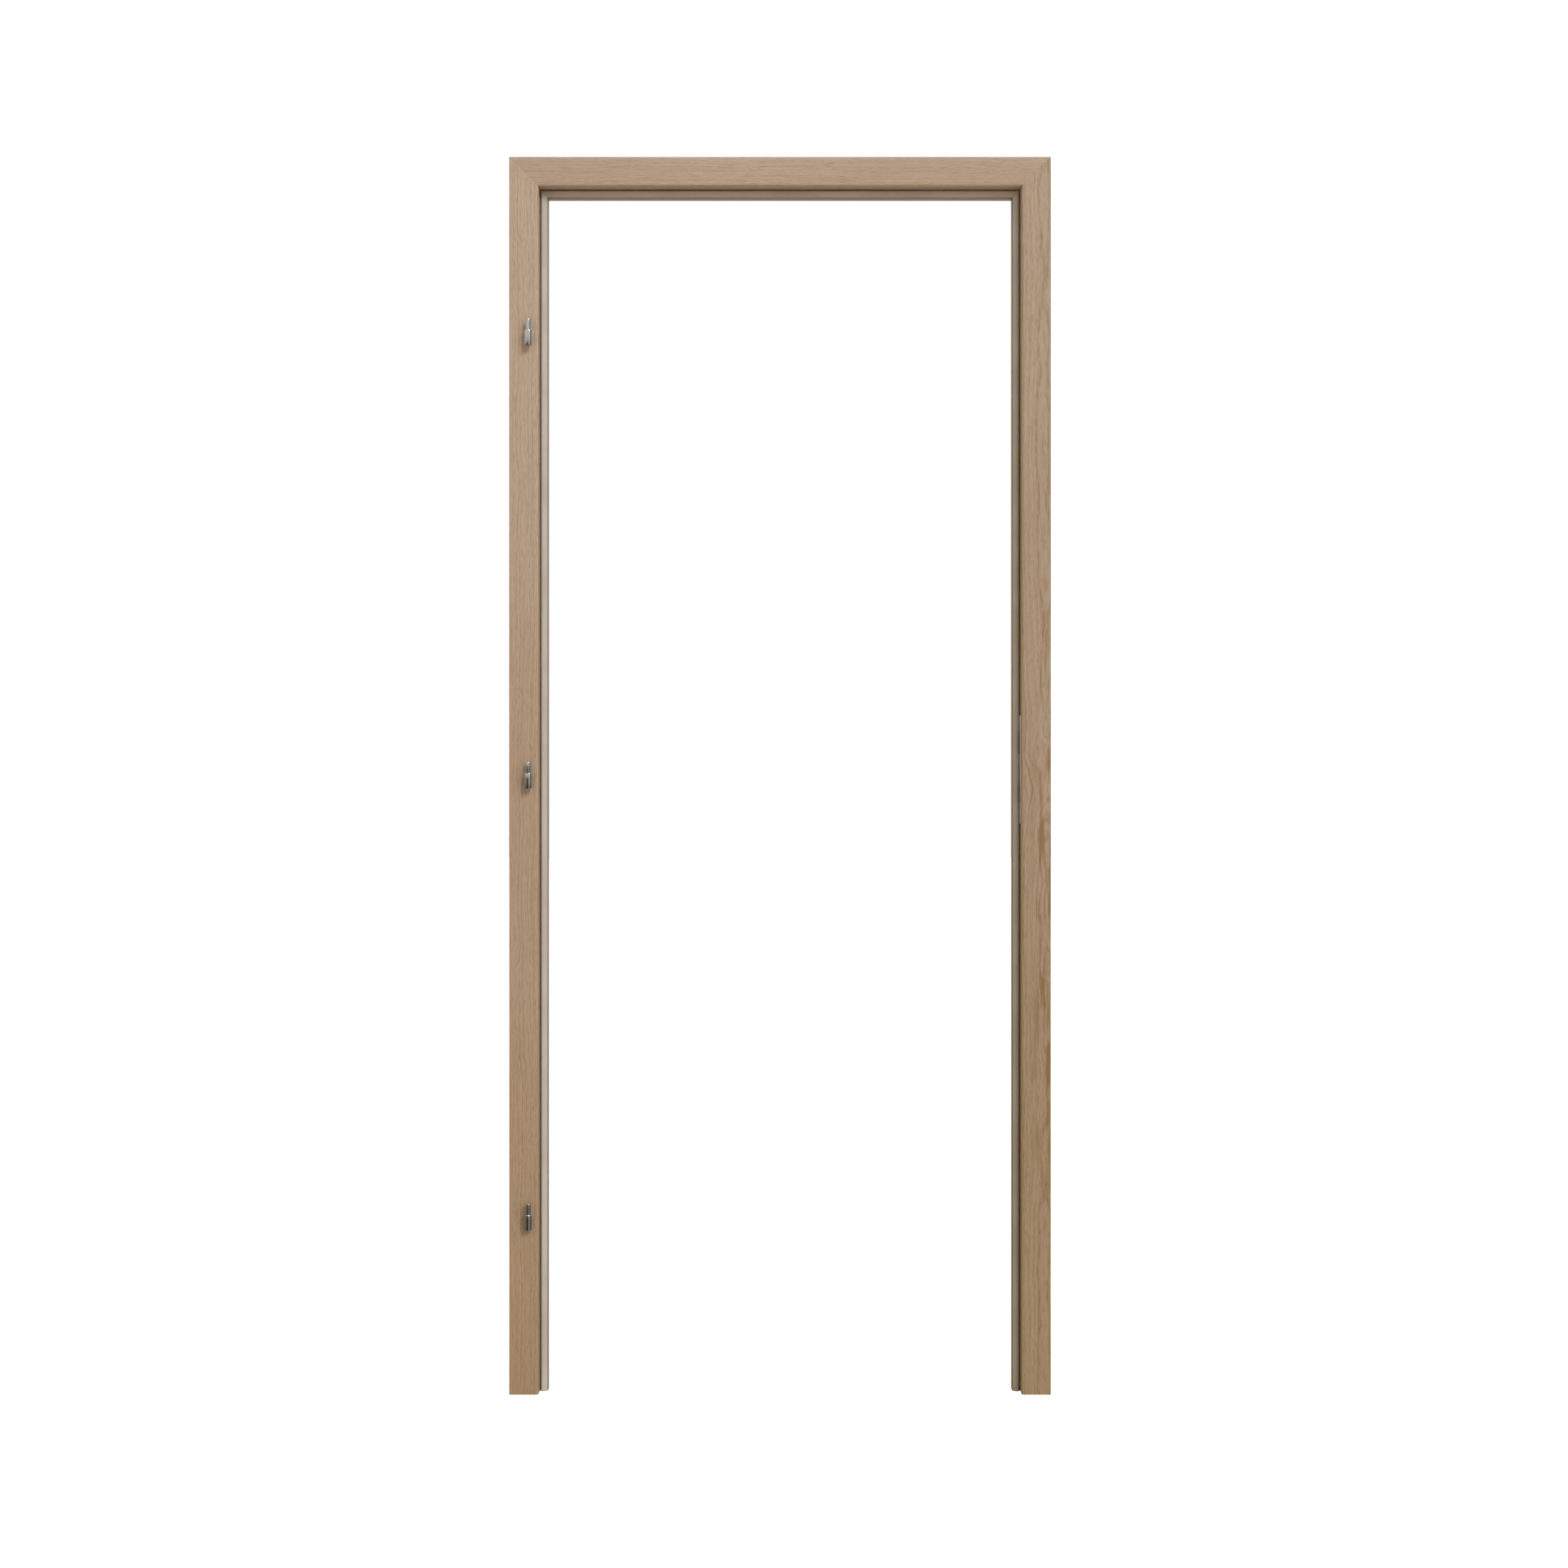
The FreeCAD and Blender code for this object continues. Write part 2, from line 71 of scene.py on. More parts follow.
Colour = tuple[float, float, float, float]
Corner = tuple[float, float, float]
Range = tuple[float, float]
Socket = bpy.types.NodeSocket
Tree = bpy.types.NodeTree
Piece = bpy.types.Object
Finished = bpy.types.Material
Heads = list[tuple[Vector, Vector]]
WHITE = (1.0, 1.0, 1.0, 1.0)


def tone(red: int, green: int, blue: int) -> Colour:
    """Turn a screen colour into the linear colour that a shader takes.

    Args:
        red: Red from 0 to 255.
        green: Green from 0 to 255.
        blue: Blue from 0 to 255.

    Returns:
        The linear colour with full alpha.
    """
    def linear(level: int) -> float:
        """Linear value of one screen level."""
        share = level / 255
        return share / 12.92 if share <= 0.04045 else ((share + 0.055) / 1.055) ** 2.4

    return (linear(red), linear(green), linear(blue), 1.0)


class Side(Enum):
    """One of the three sides of the frame."""

    HINGE = "hinge_side"
    STRIKE = "strike_side"
    HEAD = "head"


@dataclass(frozen=True)
class Sizes:
    """Sizes of the frame in millimetres, as the solids have them."""

    width: float = 928.0
    height: float = 2120.0
    depth_origin: float = 40.5
    casing_width: float = 50.0
    casing_thickness: float = 12.0
    beam_front: float = 11.0
    board_outer: float = 26.0
    rebate_depth: float = 29.0
    tongue_outer: float = 39.2
    tongue_inner: float = 46.2
    tongue_back: float = 92.0
    rear_front: float = 87.0
    rear_face: float = 99.0

    def place(self, side: Side, inward: float, depth: float, along: float) -> Vector:
        """Place a section point of one side in the model, in metres.

        Args:
            side: The side that the section belongs to.
            inward: Millimetres from the outer edge towards the doorway.
            depth: Millimetres back from the front face.
            along: Height on a jamb, or distance from the middle on the head.

        Returns:
            The point in the shared frame.
        """
        y = depth - self.depth_origin
        if side is Side.HINGE:
            return Vector((inward - self.width / 2, y, along)) * MM
        if side is Side.STRIKE:
            return Vector((self.width / 2 - inward, y, along)) * MM
        return Vector((along, y, self.height - inward)) * MM


SIZES = Sizes()


class Graph:
    """A node tree under construction, for shaders and for geometry alike."""

    def __init__(self, tree: Tree) -> None:
        """Start on an empty tree."""
        self.tree = tree
        self.tree.nodes.clear()

    def add(self, kind: str, inputs: dict | None = None, **settings: object) -> bpy.types.Node:
        """Add a node, set its properties and fill its inputs, each by name or number."""
        node = self.tree.nodes.new(kind)
        for name, value in settings.items():
            setattr(node, name, value)
        for key, value in (inputs or {}).items():
            self.fill(node.inputs[key], value)
        return node

    def first(self, kind: str, inputs: dict | None = None, **settings: object) -> Socket:
        """Add a node as add does, and return its first output."""
        return self.add(kind, inputs, **settings).outputs[0]

    def fill(self, socket: Socket, value: object) -> None:
        """Link an output socket to an input, or set the input's value."""
        if isinstance(value, Socket):
            self.tree.links.new(value, socket)
        else:
            socket.default_value = value

    def math(self, operation: str, *values: object) -> Socket:
        """Add a maths node and return its result."""
        return self.first("ShaderNodeMath", dict(enumerate(values)), operation=operation)

    # Nodes by name; weigh takes a value, its weight and the base that the product is added to.
    plus = partialmethod(math, "ADD")
    minus = partialmethod(math, "SUBTRACT")
    times = partialmethod(math, "MULTIPLY")
    over = partialmethod(math, "DIVIDE")
    weigh = partialmethod(math, "MULTIPLY_ADD")
    magnitude = partialmethod(math, "ABSOLUTE")
    above = partialmethod(math, "GREATER_THAN")
    below = partialmethod(math, "LESS_THAN")
    largest = partialmethod(math, "MAXIMUM")

    def vector(self, operation: str, *values: object) -> Socket:
        """Add a vector maths node and return its vector."""
        node = self.add("ShaderNodeVectorMath", dict(enumerate(values)), operation=operation)
        return node.outputs["Value" if operation == "DOT_PRODUCT" else "Vector"]

    def remap(self, value: object, low: float, high: float, to_low: float = 0.0, to_high: float = 1.0,
              smooth: bool = True) -> Socket:
        """Map a value from one range to another, with soft ends if wanted."""
        kind = "SMOOTHSTEP" if smooth else "LINEAR"
        inputs = {0: value, 1: low, 2: high, 3: to_low, 4: to_high}
        return self.first("ShaderNodeMapRange", inputs, interpolation_type=kind)

    def axes(self, vector: object) -> dict[str, Socket]:
        """Split a vector into X, Y and Z."""
        return self.add("ShaderNodeSeparateXYZ", {0: vector}).outputs

    def scaled(self, vector: object, amount: object) -> Socket:
        """Scale a vector by an amount."""
        node = self.add("ShaderNodeVectorMath", {0: vector, "Scale": amount}, operation="SCALE")
        return node.outputs["Vector"]

    def noise(self, vector: object, scale: Corner, detail: float = 2.0, roughness: float = 0.5) -> Socket:
        """Add noise stretched by a scale on each axis and return its value."""
        stretched = self.vector("MULTIPLY", vector, scale)
        inputs = {"Vector": stretched, "Scale": 1.0, "Detail": detail, "Roughness": roughness}
        return self.add("ShaderNodeTexNoise", inputs).outputs["Fac"]

    def swing(self, vector: object, scale: Corner, detail: float = 2.0) -> Socket:
        """Add stretched noise that swings about zero."""
        return self.minus(self.noise(vector, scale, detail), 0.5)

    def line_noise(self, place: object, scale: float, detail: float) -> Socket:
        """Add noise that depends on one value only."""
        inputs = {"W": place, "Scale": scale, "Detail": detail}
        return self.add("ShaderNodeTexNoise", inputs, noise_dimensions="1D").outputs["Fac"]

    def mix(self, share: object, first: object, second: object, blend: str = "MIX") -> Socket:
        """Mix two colours and return the result."""
        node = self.add("ShaderNodeMix", {0: share, 6: first, 7: second}, data_type="RGBA", blend_type=blend)
        return node.outputs[2]

    def tinted(self, colour: object, tint: object) -> Socket:
        """Multiply a colour by a tint."""
        return self.mix(1.0, colour, tint, "MULTIPLY")

    def grey(self, level: object) -> Socket:
        """Make a grey of a level."""
        return self.first("ShaderNodeCombineColor", {0: level, 1: level, 2: level})


class GroupBuilder(Graph):
    """A node group with named inputs and outputs."""

    def __init__(self, name: str, kind: str, inputs: dict[str, str], outputs: dict[str, str]) -> None:
        """Make a group of a kind of tree, with a socket type for each input and output."""
        super().__init__(bpy.data.node_groups.new(name, kind))
        for in_out, sockets in (("INPUT", inputs), ("OUTPUT", outputs)):
            for title, socket_kind in sockets.items():
                self.tree.interface.new_socket(title, in_out=in_out, socket_type=socket_kind)
        self.given = self.tree.nodes.new("NodeGroupInput").outputs
        self.result = self.tree.nodes.new("NodeGroupOutput").inputs

    def give(self, **values: object) -> Tree:
        """Fill the group's outputs, with underscores for spaces, and return the tree."""
        for name, value in values.items():
            self.fill(self.result[name.replace("_", " ")], value)
        return self.tree

    def joined(self, *shapes: object) -> Socket:
        """Join shapes into one geometry."""
        whole = self.add("GeometryNodeJoinGeometry")
        for shape in shapes:
            self.fill(whole.inputs[0], shape)
        return whole.outputs[0]

    def dressed(self, shape: object) -> Tree:
        """End a geometry tree with real meshes in the given material, and return the tree."""
        real = self.first("GeometryNodeRealizeInstances", {0: shape})
        inputs = {"Geometry": real, "Material": self.given["Material"]}
        return self.give(Geometry=self.first("GeometryNodeSetMaterial", inputs))


FLOAT = "NodeSocketFloat"
VECTOR = "NodeSocketVector"
COLOUR = "NodeSocketColor"
GEOMETRY = "NodeSocketGeometry"
MATERIAL = "NodeSocketMaterial"


@dataclass(frozen=True)
class Grain:
    """Where a board lay in its log, in metres: beside the heart or across it."""

    seed: float = 0.0
    heart: float = 0.0
    depth: float = 0.09
    pitch: float = 0.0055
    wobble: float = 0.05
    lean: float = 0.035
    contrast: float = 0.52
    stain: float = 0.0
    figure_centre: float = 0.9
    figure_spread: float = 9.0


@dataclass(frozen=True)
class Mark:
    """A mark in the wood: its noise beside, into and along the board, where it starts, and its share."""

    scale: Corner
    low: float
    high: float
    share: float = 1.0
    detail: float = 2.0

    def mask(self, g: Graph, spot: Socket, least: float = 0.0) -> Socket:
        """Mask of the mark, from its least value to 1."""
        return g.remap(g.noise(spot, self.scale, self.detail), self.low, self.high, least, 1.0)

    def shown(self, g: Graph, spot: Socket) -> Socket:
        """Mask of the mark times its share."""
        return g.times(self.mask(g, spot), self.share)


@dataclass(frozen=True)
class OakRecipe:
    """How the figure of the oak is laid down: noise scales per metre, ranges and shares."""

    lean: Corner = (1.0, 1.0, 1.3)
    wander: Corner = (9.0, 9.0, 5.5)
    ripple: Corner = (45.0, 45.0, 16.0)
    frayed: Corner = (420.0, 420.0, 14.0)
    patch: Corner = (80.0, 80.0, 8.0)
    fibre: Corner = (900.0, 900.0, 16.0)
    seed_step: Corner = (3.7, 1.9, 5.3)
    dashes: Mark = Mark((640.0, 640.0, 58.0), 0.36, 0.60)
    drift: Mark = Mark((11.0, 11.0, 2.2), 0.35, 0.65, 0.30)
    streak: Mark = Mark((330.0, 330.0, 5.0), 0.40, 0.66, 0.30)
    fleck: Mark = Mark((260.0, 120.0, 55.0), 0.62, 0.74, 0.22, 1.0)
    pore: Mark = Mark((1700.0, 1700.0, 85.0), 0.56, 0.70, 0.50, 1.0)
    tick: Mark = Mark((900.0, 900.0, 85.0), 0.55, 0.68, 0.44, 1.0)
    ripple_depth: float = 0.22
    ripple_share: float = 0.22
    frayed_share: float = 0.15
    spacing_share: float = 2.2
    spacing_scale: float = 0.45
    broad_scale: float = 0.23
    broad_range: Range = (0.35, 0.65)
    broad_share: float = 0.34
    weight_scale: float = 0.61
    weight_range: Range = (0.30, 0.66)
    lightest_line: float = 0.35
    faintest_dash: float = 0.18
    line_peak: float = 0.14
    line_end: float = 0.70
    figure_edge: Range = (0.55, 1.1)
    stain_reach: Range = (0.006, 0.034)
    stain_range: Range = (0.50, 0.62)
    stain_fray: float = 0.30
    fibre_range: Range = (0.3, 0.7)
    fibre_tone: Range = (0.93, 1.06)
    fibre_rough: Range = (0.50, 0.60)
    pore_rough: float = 0.14
    pore_shares: Range = (0.75, 0.25)
    wobble_shares: Range = (0.6, 0.4)
    fibre_detail: Range = (3.0, 0.6)
    fibre_relief: float = 0.35
    line_relief: float = 0.25
    # Height where the foot tint starts, and its curve: on the oak it is warm drift with painted shade, on
    # the seals it is painted light.
    tint_top: float = 1.9
    tint_power: float = 0.85


class Effects:
    """Shader node groups that the finishes share, each built once."""

    recipe: OakRecipe = OakRecipe()
    flat_on: float = 0.9
    foot_height: float = 0.0002
    mottle_scale: Corner = (900.0, 900.0, 900.0)
    mottle_detail: Range = (3.0, 0.7)
    mottle_range: Range = (0.35, 0.65)
    cloud_range: Range = (0.35, 0.7)
    seam_width: float = 0.0004
    seam_edge: Range = (0.3, 1.0)

    def __init__(self) -> None:
        """Build every group."""
        self.oak = self.build_oak()
        self.core = self.build_core_mask()
        self.seam = self.build_seam()
        self.handling = self.build_handling()

    def build_oak(self) -> Tree:
        """Oak figure cut from a log whose heart runs along local Z beside the board."""
        # Grain's fields name the inputs, so that a finish hands over its grain as it is.
        inputs = {"Vector": VECTOR, **dict.fromkeys(asdict(Grain()), FLOAT),
                  **dict.fromkeys(("pale", "mid", "dark", "foot_tint"), COLOUR)}
        outputs = {"Color": COLOUR, "Roughness": FLOAT, "Height": FLOAT}
        g = GroupBuilder("oak_figure", "ShaderNodeTree", inputs, outputs)
        given, recipe = g.given, self.recipe
        spot = g.vector("ADD", given["Vector"], g.scaled(recipe.seed_step, given["seed"]))
        frayed = g.swing(spot, recipe.frayed)
        height = g.axes(given["Vector"])["Z"]
        from_figure = g.magnitude(g.minus(height, given["figure_centre"]))
        from_figure = g.over(from_figure, given["figure_spread"])
        figured = g.remap(from_figure, *recipe.figure_edge, 1.0, 0.0)
        rings, aside = self.oak_rings(g, spot, frayed, figured)
        phase = g.math("FRACT", rings)
        rise = g.remap(phase, 0.0, recipe.line_peak)
        early = g.times(rise, g.remap(phase, recipe.line_peak, recipe.line_end, 1.0, 0.0))
        weight = g.line_noise(g.times(rings, recipe.weight_scale), 1.0, 0.0)
        early = g.times(early, g.remap(weight, *recipe.weight_range, recipe.lightest_line, 1.0))
        line = g.times(early, recipe.dashes.mask(g, spot, recipe.faintest_dash))
        by_heart = g.remap(g.magnitude(aside), *recipe.stain_reach, 1.0, 0.0)
        patch = g.weigh(frayed, recipe.stain_fray, g.noise(spot, recipe.patch))
        patch = g.remap(patch, *recipe.stain_range)
        stain = g.times(g.times(patch, by_heart), g.times(given["stain"], figured))
        fibre = g.noise(spot, recipe.fibre, *recipe.fibre_detail)
        pore = g.times(recipe.pore.mask(g, spot), g.weigh(early, *recipe.pore_shares))
        colour = self.oak_colour(g, spot, rings, line, stain, pore)
        shade = g.remap(fibre, *recipe.fibre_range, *recipe.fibre_tone, smooth=False)
        colour = g.tinted(colour, g.grey(shade))
        # Darker and warmer towards the floor: the veneer's own warm drift together with painted shade where
        # the light falls off downwards.
        low = g.math("POWER", g.remap(height, recipe.tint_top, 0.0, smooth=False), recipe.tint_power)
        colour = g.mix(low, colour, g.tinted(colour, given["foot_tint"]))
        rough = g.remap(fibre, *recipe.fibre_range, *recipe.fibre_rough, smooth=False)
        rough = g.weigh(pore, recipe.pore_rough, rough)
        relief = g.minus(g.times(fibre, recipe.fibre_relief), g.weigh(line, recipe.line_relief, pore))
        return g.give(Color=colour, Roughness=rough, Height=relief)

    def oak_rings(self, g: GroupBuilder, spot: Socket, frayed: Socket,
                  figured: Socket) -> tuple[Socket, Socket]:
        """Count the year rings from the heart out to each point.

        Args:
            g: The group under construction.
            spot: Place in the board, shifted by the seed.
            frayed: Fine swing across the board.
            figured: How near a point is to the oval figure, from 0 to 1.

        Returns:
            The count of rings, and how far a point is beside the heart.
        """
        given, recipe = g.given, self.recipe
        axes = g.axes(given["Vector"])
        wobble = g.times(given["wobble"], g.weigh(figured, *recipe.wobble_shares))
        ripple = g.swing(spot, recipe.ripple)
        aside = g.weigh(g.swing(spot, recipe.lean, 1.0), given["lean"], g.minus(axes["X"], given["heart"]))
        deep = g.plus(axes["Y"], g.weigh(g.swing(spot, recipe.wander), wobble, given["depth"]))
        deep = g.weigh(ripple, g.times(wobble, recipe.ripple_depth), deep)
        away = g.math("SQRT", g.plus(g.times(aside, aside), g.times(deep, deep)))
        rings = g.weigh(ripple, recipe.ripple_share, g.over(away, given["pitch"]))
        rings = g.weigh(frayed, recipe.frayed_share, rings)
        spacing = g.line_noise(rings, recipe.spacing_scale, 2.0)
        return g.weigh(spacing, recipe.spacing_share, rings), aside

    def oak_colour(self, g: GroupBuilder, spot: Socket, rings: Socket, line: Socket, stain: Socket,
                   pore: Socket) -> Socket:
        """Lay the wood's tones over each other.

        Args:
            g: The group under construction.
            spot: Place in the board, shifted by the seed.
            rings: Count of rings from the heart.
            line: Mask of the early wood's lines.
            stain: Mask of the brown stain by the heart.
            pore: Mask of the open pores.

        Returns:
            The colour of the veneer before its fine shading.
        """
        recipe = self.recipe
        broad = g.remap(g.line_noise(rings, recipe.broad_scale, 1.0), *recipe.broad_range)
        layers = (
            (g.weigh(broad, recipe.broad_share, recipe.drift.shown(g, spot)), "mid"),
            (recipe.streak.shown(g, spot), "mid"),
            (recipe.fleck.shown(g, spot), "pale"),
            (g.times(line, g.given["contrast"]), "dark"),
            (stain, "dark"),
            (g.times(pore, recipe.pore.share), "dark"),
            (recipe.tick.shown(g, spot), "dark"),
        )
        colour = g.given["pale"]
        for share, over in layers:
            colour = g.mix(share, colour, g.given[over])
        return colour

    @staticmethod
    def from_edges(g: Graph, vector: object) -> tuple[Socket, Socket]:
        """How far a point is from the frame's nearer side, and from its top."""
        axes = g.axes(vector)
        from_side = g.minus(SIZES.width / 2 * MM, g.magnitude(axes["X"]))
        return from_side, g.minus(SIZES.height * MM, axes["Z"])

    def build_core_mask(self) -> Tree:
        """Mask of the bare board, on faces that look at the wall and on the sawn feet, with its mottle."""
        inputs = {"Vector": VECTOR, "Wall Normal": VECTOR, "Second Normal": VECTOR, "Inward Limit": FLOAT}
        outputs = {"Mask": FLOAT, "Mottle": FLOAT, "Inward": FLOAT}
        g = GroupBuilder("core_board_mask", "ShaderNodeTree", inputs, outputs)
        normal = g.add("ShaderNodeNewGeometry").outputs["True Normal"]
        inward = g.math("MINIMUM", *self.from_edges(g, g.given["Vector"]))
        outside = g.below(inward, g.given["Inward Limit"])
        normals = (g.given["Wall Normal"], g.given["Second Normal"])
        towards = [g.vector("DOT_PRODUCT", normal, bare) for bare in normals]
        wall = g.times(g.above(g.largest(*towards), self.flat_on), outside)
        foot = g.below(g.axes(g.given["Vector"])["Z"], self.foot_height)
        down = g.below(g.vector("DOT_PRODUCT", normal, (0, 0, 1)), -self.flat_on)
        mask = g.largest(wall, g.times(foot, down))
        mottle = g.noise(g.given["Vector"], self.mottle_scale, *self.mottle_detail)
        mottle = g.remap(mottle, *self.mottle_range)
        return g.give(Mask=mask, Mottle=mottle, Inward=inward)

    def build_seam(self) -> Tree:
        """Mask of the fine line where two members meet on the mitre."""
        g = GroupBuilder("mitre_seam", "ShaderNodeTree", {"Vector": VECTOR}, {"Mask": FLOAT})
        apart = g.magnitude(g.minus(*self.from_edges(g, g.given["Vector"])))
        return g.give(Mask=g.remap(g.over(apart, self.seam_width), *self.seam_edge, 1.0, 0.0))

    def build_handling(self) -> Tree:
        """Faint marks of handling: a cloudy mask, and fine lines turned about an upright axis."""
        inputs = {"Vector": VECTOR, "Cloud Scale": FLOAT, "Line Scale": FLOAT}
        g = GroupBuilder("handling_marks", "ShaderNodeTree", inputs, {"Cloud": FLOAT, "Lines": FLOAT})
        cloud_inputs = {"Vector": g.given["Vector"], "Scale": g.given["Cloud Scale"], "Detail": 3.0}
        cloud = g.add("ShaderNodeTexNoise", cloud_inputs).outputs["Fac"]
        along = g.times(g.axes(g.given["Vector"])["Z"], g.given["Line Scale"])
        return g.give(Cloud=g.remap(cloud, *self.cloud_range), Lines=g.line_noise(along, 1.0, 2.0))


class Material(Graph):
    """A material with one surface shader in it."""

    def __init__(self, name: str) -> None:
        """Make the material, its shader and its object coordinates."""
        self.data = bpy.data.materials.new(name)
        self.data.use_nodes = True
        super().__init__(self.data.node_tree)
        self.shader = self.add("ShaderNodeBsdfPrincipled")
        self.add("ShaderNodeOutputMaterial", {"Surface": self.shader.outputs[0]})
        self.spot = self.add("ShaderNodeTexCoord").outputs["Object"]

    def group(self, tree: Tree, inputs: dict) -> dict:
        """Place a shared group and return its outputs."""
        return self.add("ShaderNodeGroup", inputs, node_tree=tree).outputs

    def surface(self, **values: object) -> None:
        """Set or link inputs of the shader, with underscores for spaces."""
        for name, value in values.items():
            self.fill(self.shader.inputs[name.replace("_", " ")], value)

    def bump(self, height: object, distance: float) -> None:
        """Raise the surface by a height, up to a distance in metres."""
        inputs = {"Height": height, "Distance": distance, "Strength": 1.0}
        self.surface(Normal=self.first("ShaderNodeBump", inputs))


@dataclass(frozen=True)
class OakFinish:
    """Matt oak veneer on a pressed board core."""

    name: str
    side: Side
    grain: Grain
    wall_normal: Corner = (0.0, 1.0, 0.0)
    second_normal: Corner = (0.0, 1.0, 0.0)
    inward_limit: float = 50.1
    pale: Colour = tone(183, 162, 144)
    mid: Colour = tone(168, 145, 123)
    dark: Colour = tone(147, 119, 84)
    # Tint at the foot: the veneer's warm drift together with painted shade of light falling off towards the
    # floor.
    foot_tint: Colour = (0.76, 0.69, 0.56, 1.0)
    # Start inward in millimetres and tint of the painted shade over the stop; white leaves it out.
    edge_start: float = 60.0
    edge_tint: Colour = WHITE
    core: Colour = tone(172, 142, 104)
    core_dark: Colour = tone(138, 108, 74)
    core_rough: float = 0.9
    seam_depth: float = 0.62
    seam_relief: float = -0.3
    relief: float = 0.00018
    refraction: float = 1.45

    def build(self, effects: Effects) -> Finished:
        """Make the material from the shared groups."""
        m = Material(self.name)
        spot, tint = m.spot, self.foot_tint
        if self.side is Side.HEAD:
            axes = m.axes(m.spot)
            spot = m.first("ShaderNodeCombineXYZ", {0: axes["Z"], 1: axes["Y"], 2: axes["X"]})
            tint = WHITE
        tones = {"pale": self.pale, "mid": self.mid, "dark": self.dark, "foot_tint": tint}
        oak = m.group(effects.oak, {"Vector": spot, **asdict(self.grain), **tones})
        core = m.group(effects.core, {
            "Vector": m.spot, "Wall Normal": self.wall_normal, "Second Normal": self.second_normal,
            "Inward Limit": self.inward_limit * MM})
        seam = m.group(effects.seam, {"Vector": m.spot})
        # Painted shade: faces more than the start distance inward, the stop and the lining's inner faces
        # among them, are darkened by a tint as if in the casing's shadow.
        edge = m.above(core["Inward"], self.edge_start * MM)
        veneer = m.mix(edge, oak["Color"], m.tinted(oak["Color"], self.edge_tint))
        veneer = m.mix(m.times(seam["Mask"], self.seam_depth), veneer, self.dark)
        board = m.mix(core["Mottle"], self.core, self.core_dark)
        m.surface(Base_Color=m.mix(core["Mask"], veneer, board))
        rough = m.remap(core["Mask"], 0.0, 1.0, oak["Roughness"], self.core_rough, smooth=False)
        m.surface(Roughness=rough, IOR=self.refraction)
        m.bump(m.weigh(seam["Mask"], self.seam_relief, oak["Height"]), self.relief)
        return m.data


@dataclass(frozen=True)
class CoatFinish:
    """Metal, rubber or plastic with faint marks of handling."""

    name: str
    body: Colour
    shade: Colour
    smooth: float
    dull: float
    relief: float
    raised: str = "Cloud"
    cloud_scale: float = 90.0
    line_scale: float = 2500.0
    metallic: float = 0.0
    sheen: float = 0.0
    # Painted light by height: a foot tone above 1 brightens the coat towards the floor, and one below 1
    # darkens it as painted shade.
    foot_tint: Colour = WHITE

    def build(self, effects: Effects) -> Finished:
        """Make the material from the shared groups."""
        m = Material(self.name)
        marks = m.group(effects.handling, {"Vector": m.spot, "Cloud Scale": self.cloud_scale,
                                           "Line Scale": self.line_scale})
        coat = m.mix(marks["Cloud"], self.body, self.shade)
        # Painted light: towards the floor the coat is multiplied by the foot tone, which on the seals
        # brightens the hinge side and darkens the strike side.
        low = m.remap(m.axes(m.spot)["Z"], effects.recipe.tint_top, 0.0, smooth=False)
        m.surface(Base_Color=m.mix(low, coat, m.tinted(coat, self.foot_tint)), Metallic=self.metallic)
        m.surface(Roughness=m.remap(marks["Cloud"], 0.0, 1.0, self.smooth, self.dull, smooth=False))
        m.surface(Sheen_Weight=self.sheen, Sheen_Roughness=0.5)
        m.bump(marks[self.raised], self.relief)
        return m.data


def plain_mesh(source: Piece, name: str) -> Piece:
    """Bake an object's live modifiers into a plain mesh object of a new name, and remove the object."""
    bpy.context.view_layer.update()
    graph = bpy.context.evaluated_depsgraph_get()
    mesh = bpy.data.meshes.new_from_object(source.evaluated_get(graph), depsgraph=graph)
    mesh.name = name
    finishes = [material for material in mesh.materials if material]
    if len(finishes) == 1:
        mesh.materials.clear()
        mesh.materials.append(finishes[0])
        mesh.polygons.foreach_set("material_index", [0] * len(mesh.polygons))
    bpy.data.objects.remove(source)
    return put(mesh, name)


def put(data: bpy.types.ID, name: str) -> Piece:
    """Put a mesh, a light or a camera in the scene as an object of its own at the origin."""
    piece = bpy.data.objects.new(name, data)
    bpy.context.scene.collection.objects.link(piece)
    return piece


def put_shape(shape: bmesh.types.BMesh, name: str, material: Finished | None = None) -> Piece:
    """Put a shape in the scene with its finish, and free it."""
    mesh = bpy.data.meshes.new(name)
    shape.to_mesh(mesh)
    shape.free()
    if material:
        mesh.materials.append(material)
    return put(mesh, name)


def remove(pieces: list[Piece]) -> None:
    """Remove pieces that have done their work."""
    for piece in pieces:
        bpy.data.objects.remove(piece)


def soften(piece: Piece, angle: float = 32.0) -> None:
    """Shade a piece smoothly, with edges sharper than an angle left crisp."""
    piece.data.shade_smooth()
    piece.data.set_sharp_from_angle(angle=math.radians(angle))


def box_tool(low: Vector, high: Vector) -> Piece:
    """Make a box between two corners, for cutting."""
    shape = bmesh.new()
    bmesh.ops.create_cube(shape, size=1.0)
    for vertex in shape.verts:
        for axis in range(3):
            pick = max if vertex.co[axis] > 0 else min
            vertex.co[axis] = pick(low[axis], high[axis])
    return put_shape(shape, "cutter")


def carve(piece: Piece, tools: list[Piece]) -> Piece:
    """Cut tools out of a piece, remove them, and return the finished piece."""
    name = piece.name
    for tool in tools:
        cut = piece.modifiers.new("cut", "BOOLEAN")
        cut.operation = "DIFFERENCE"
        cut.solver = "EXACT"
        cut.object = tool
    piece.name = "uncut"
    finished = plain_mesh(piece, name)
    remove(tools)
    return finished


@dataclass(frozen=True)
class MemberEnd:
    """How far the end of a member is cut back, in millimetres, by the inward place of each point."""

    base: float = 0.0
    slope: float = 1.0
    least: float = 0.0


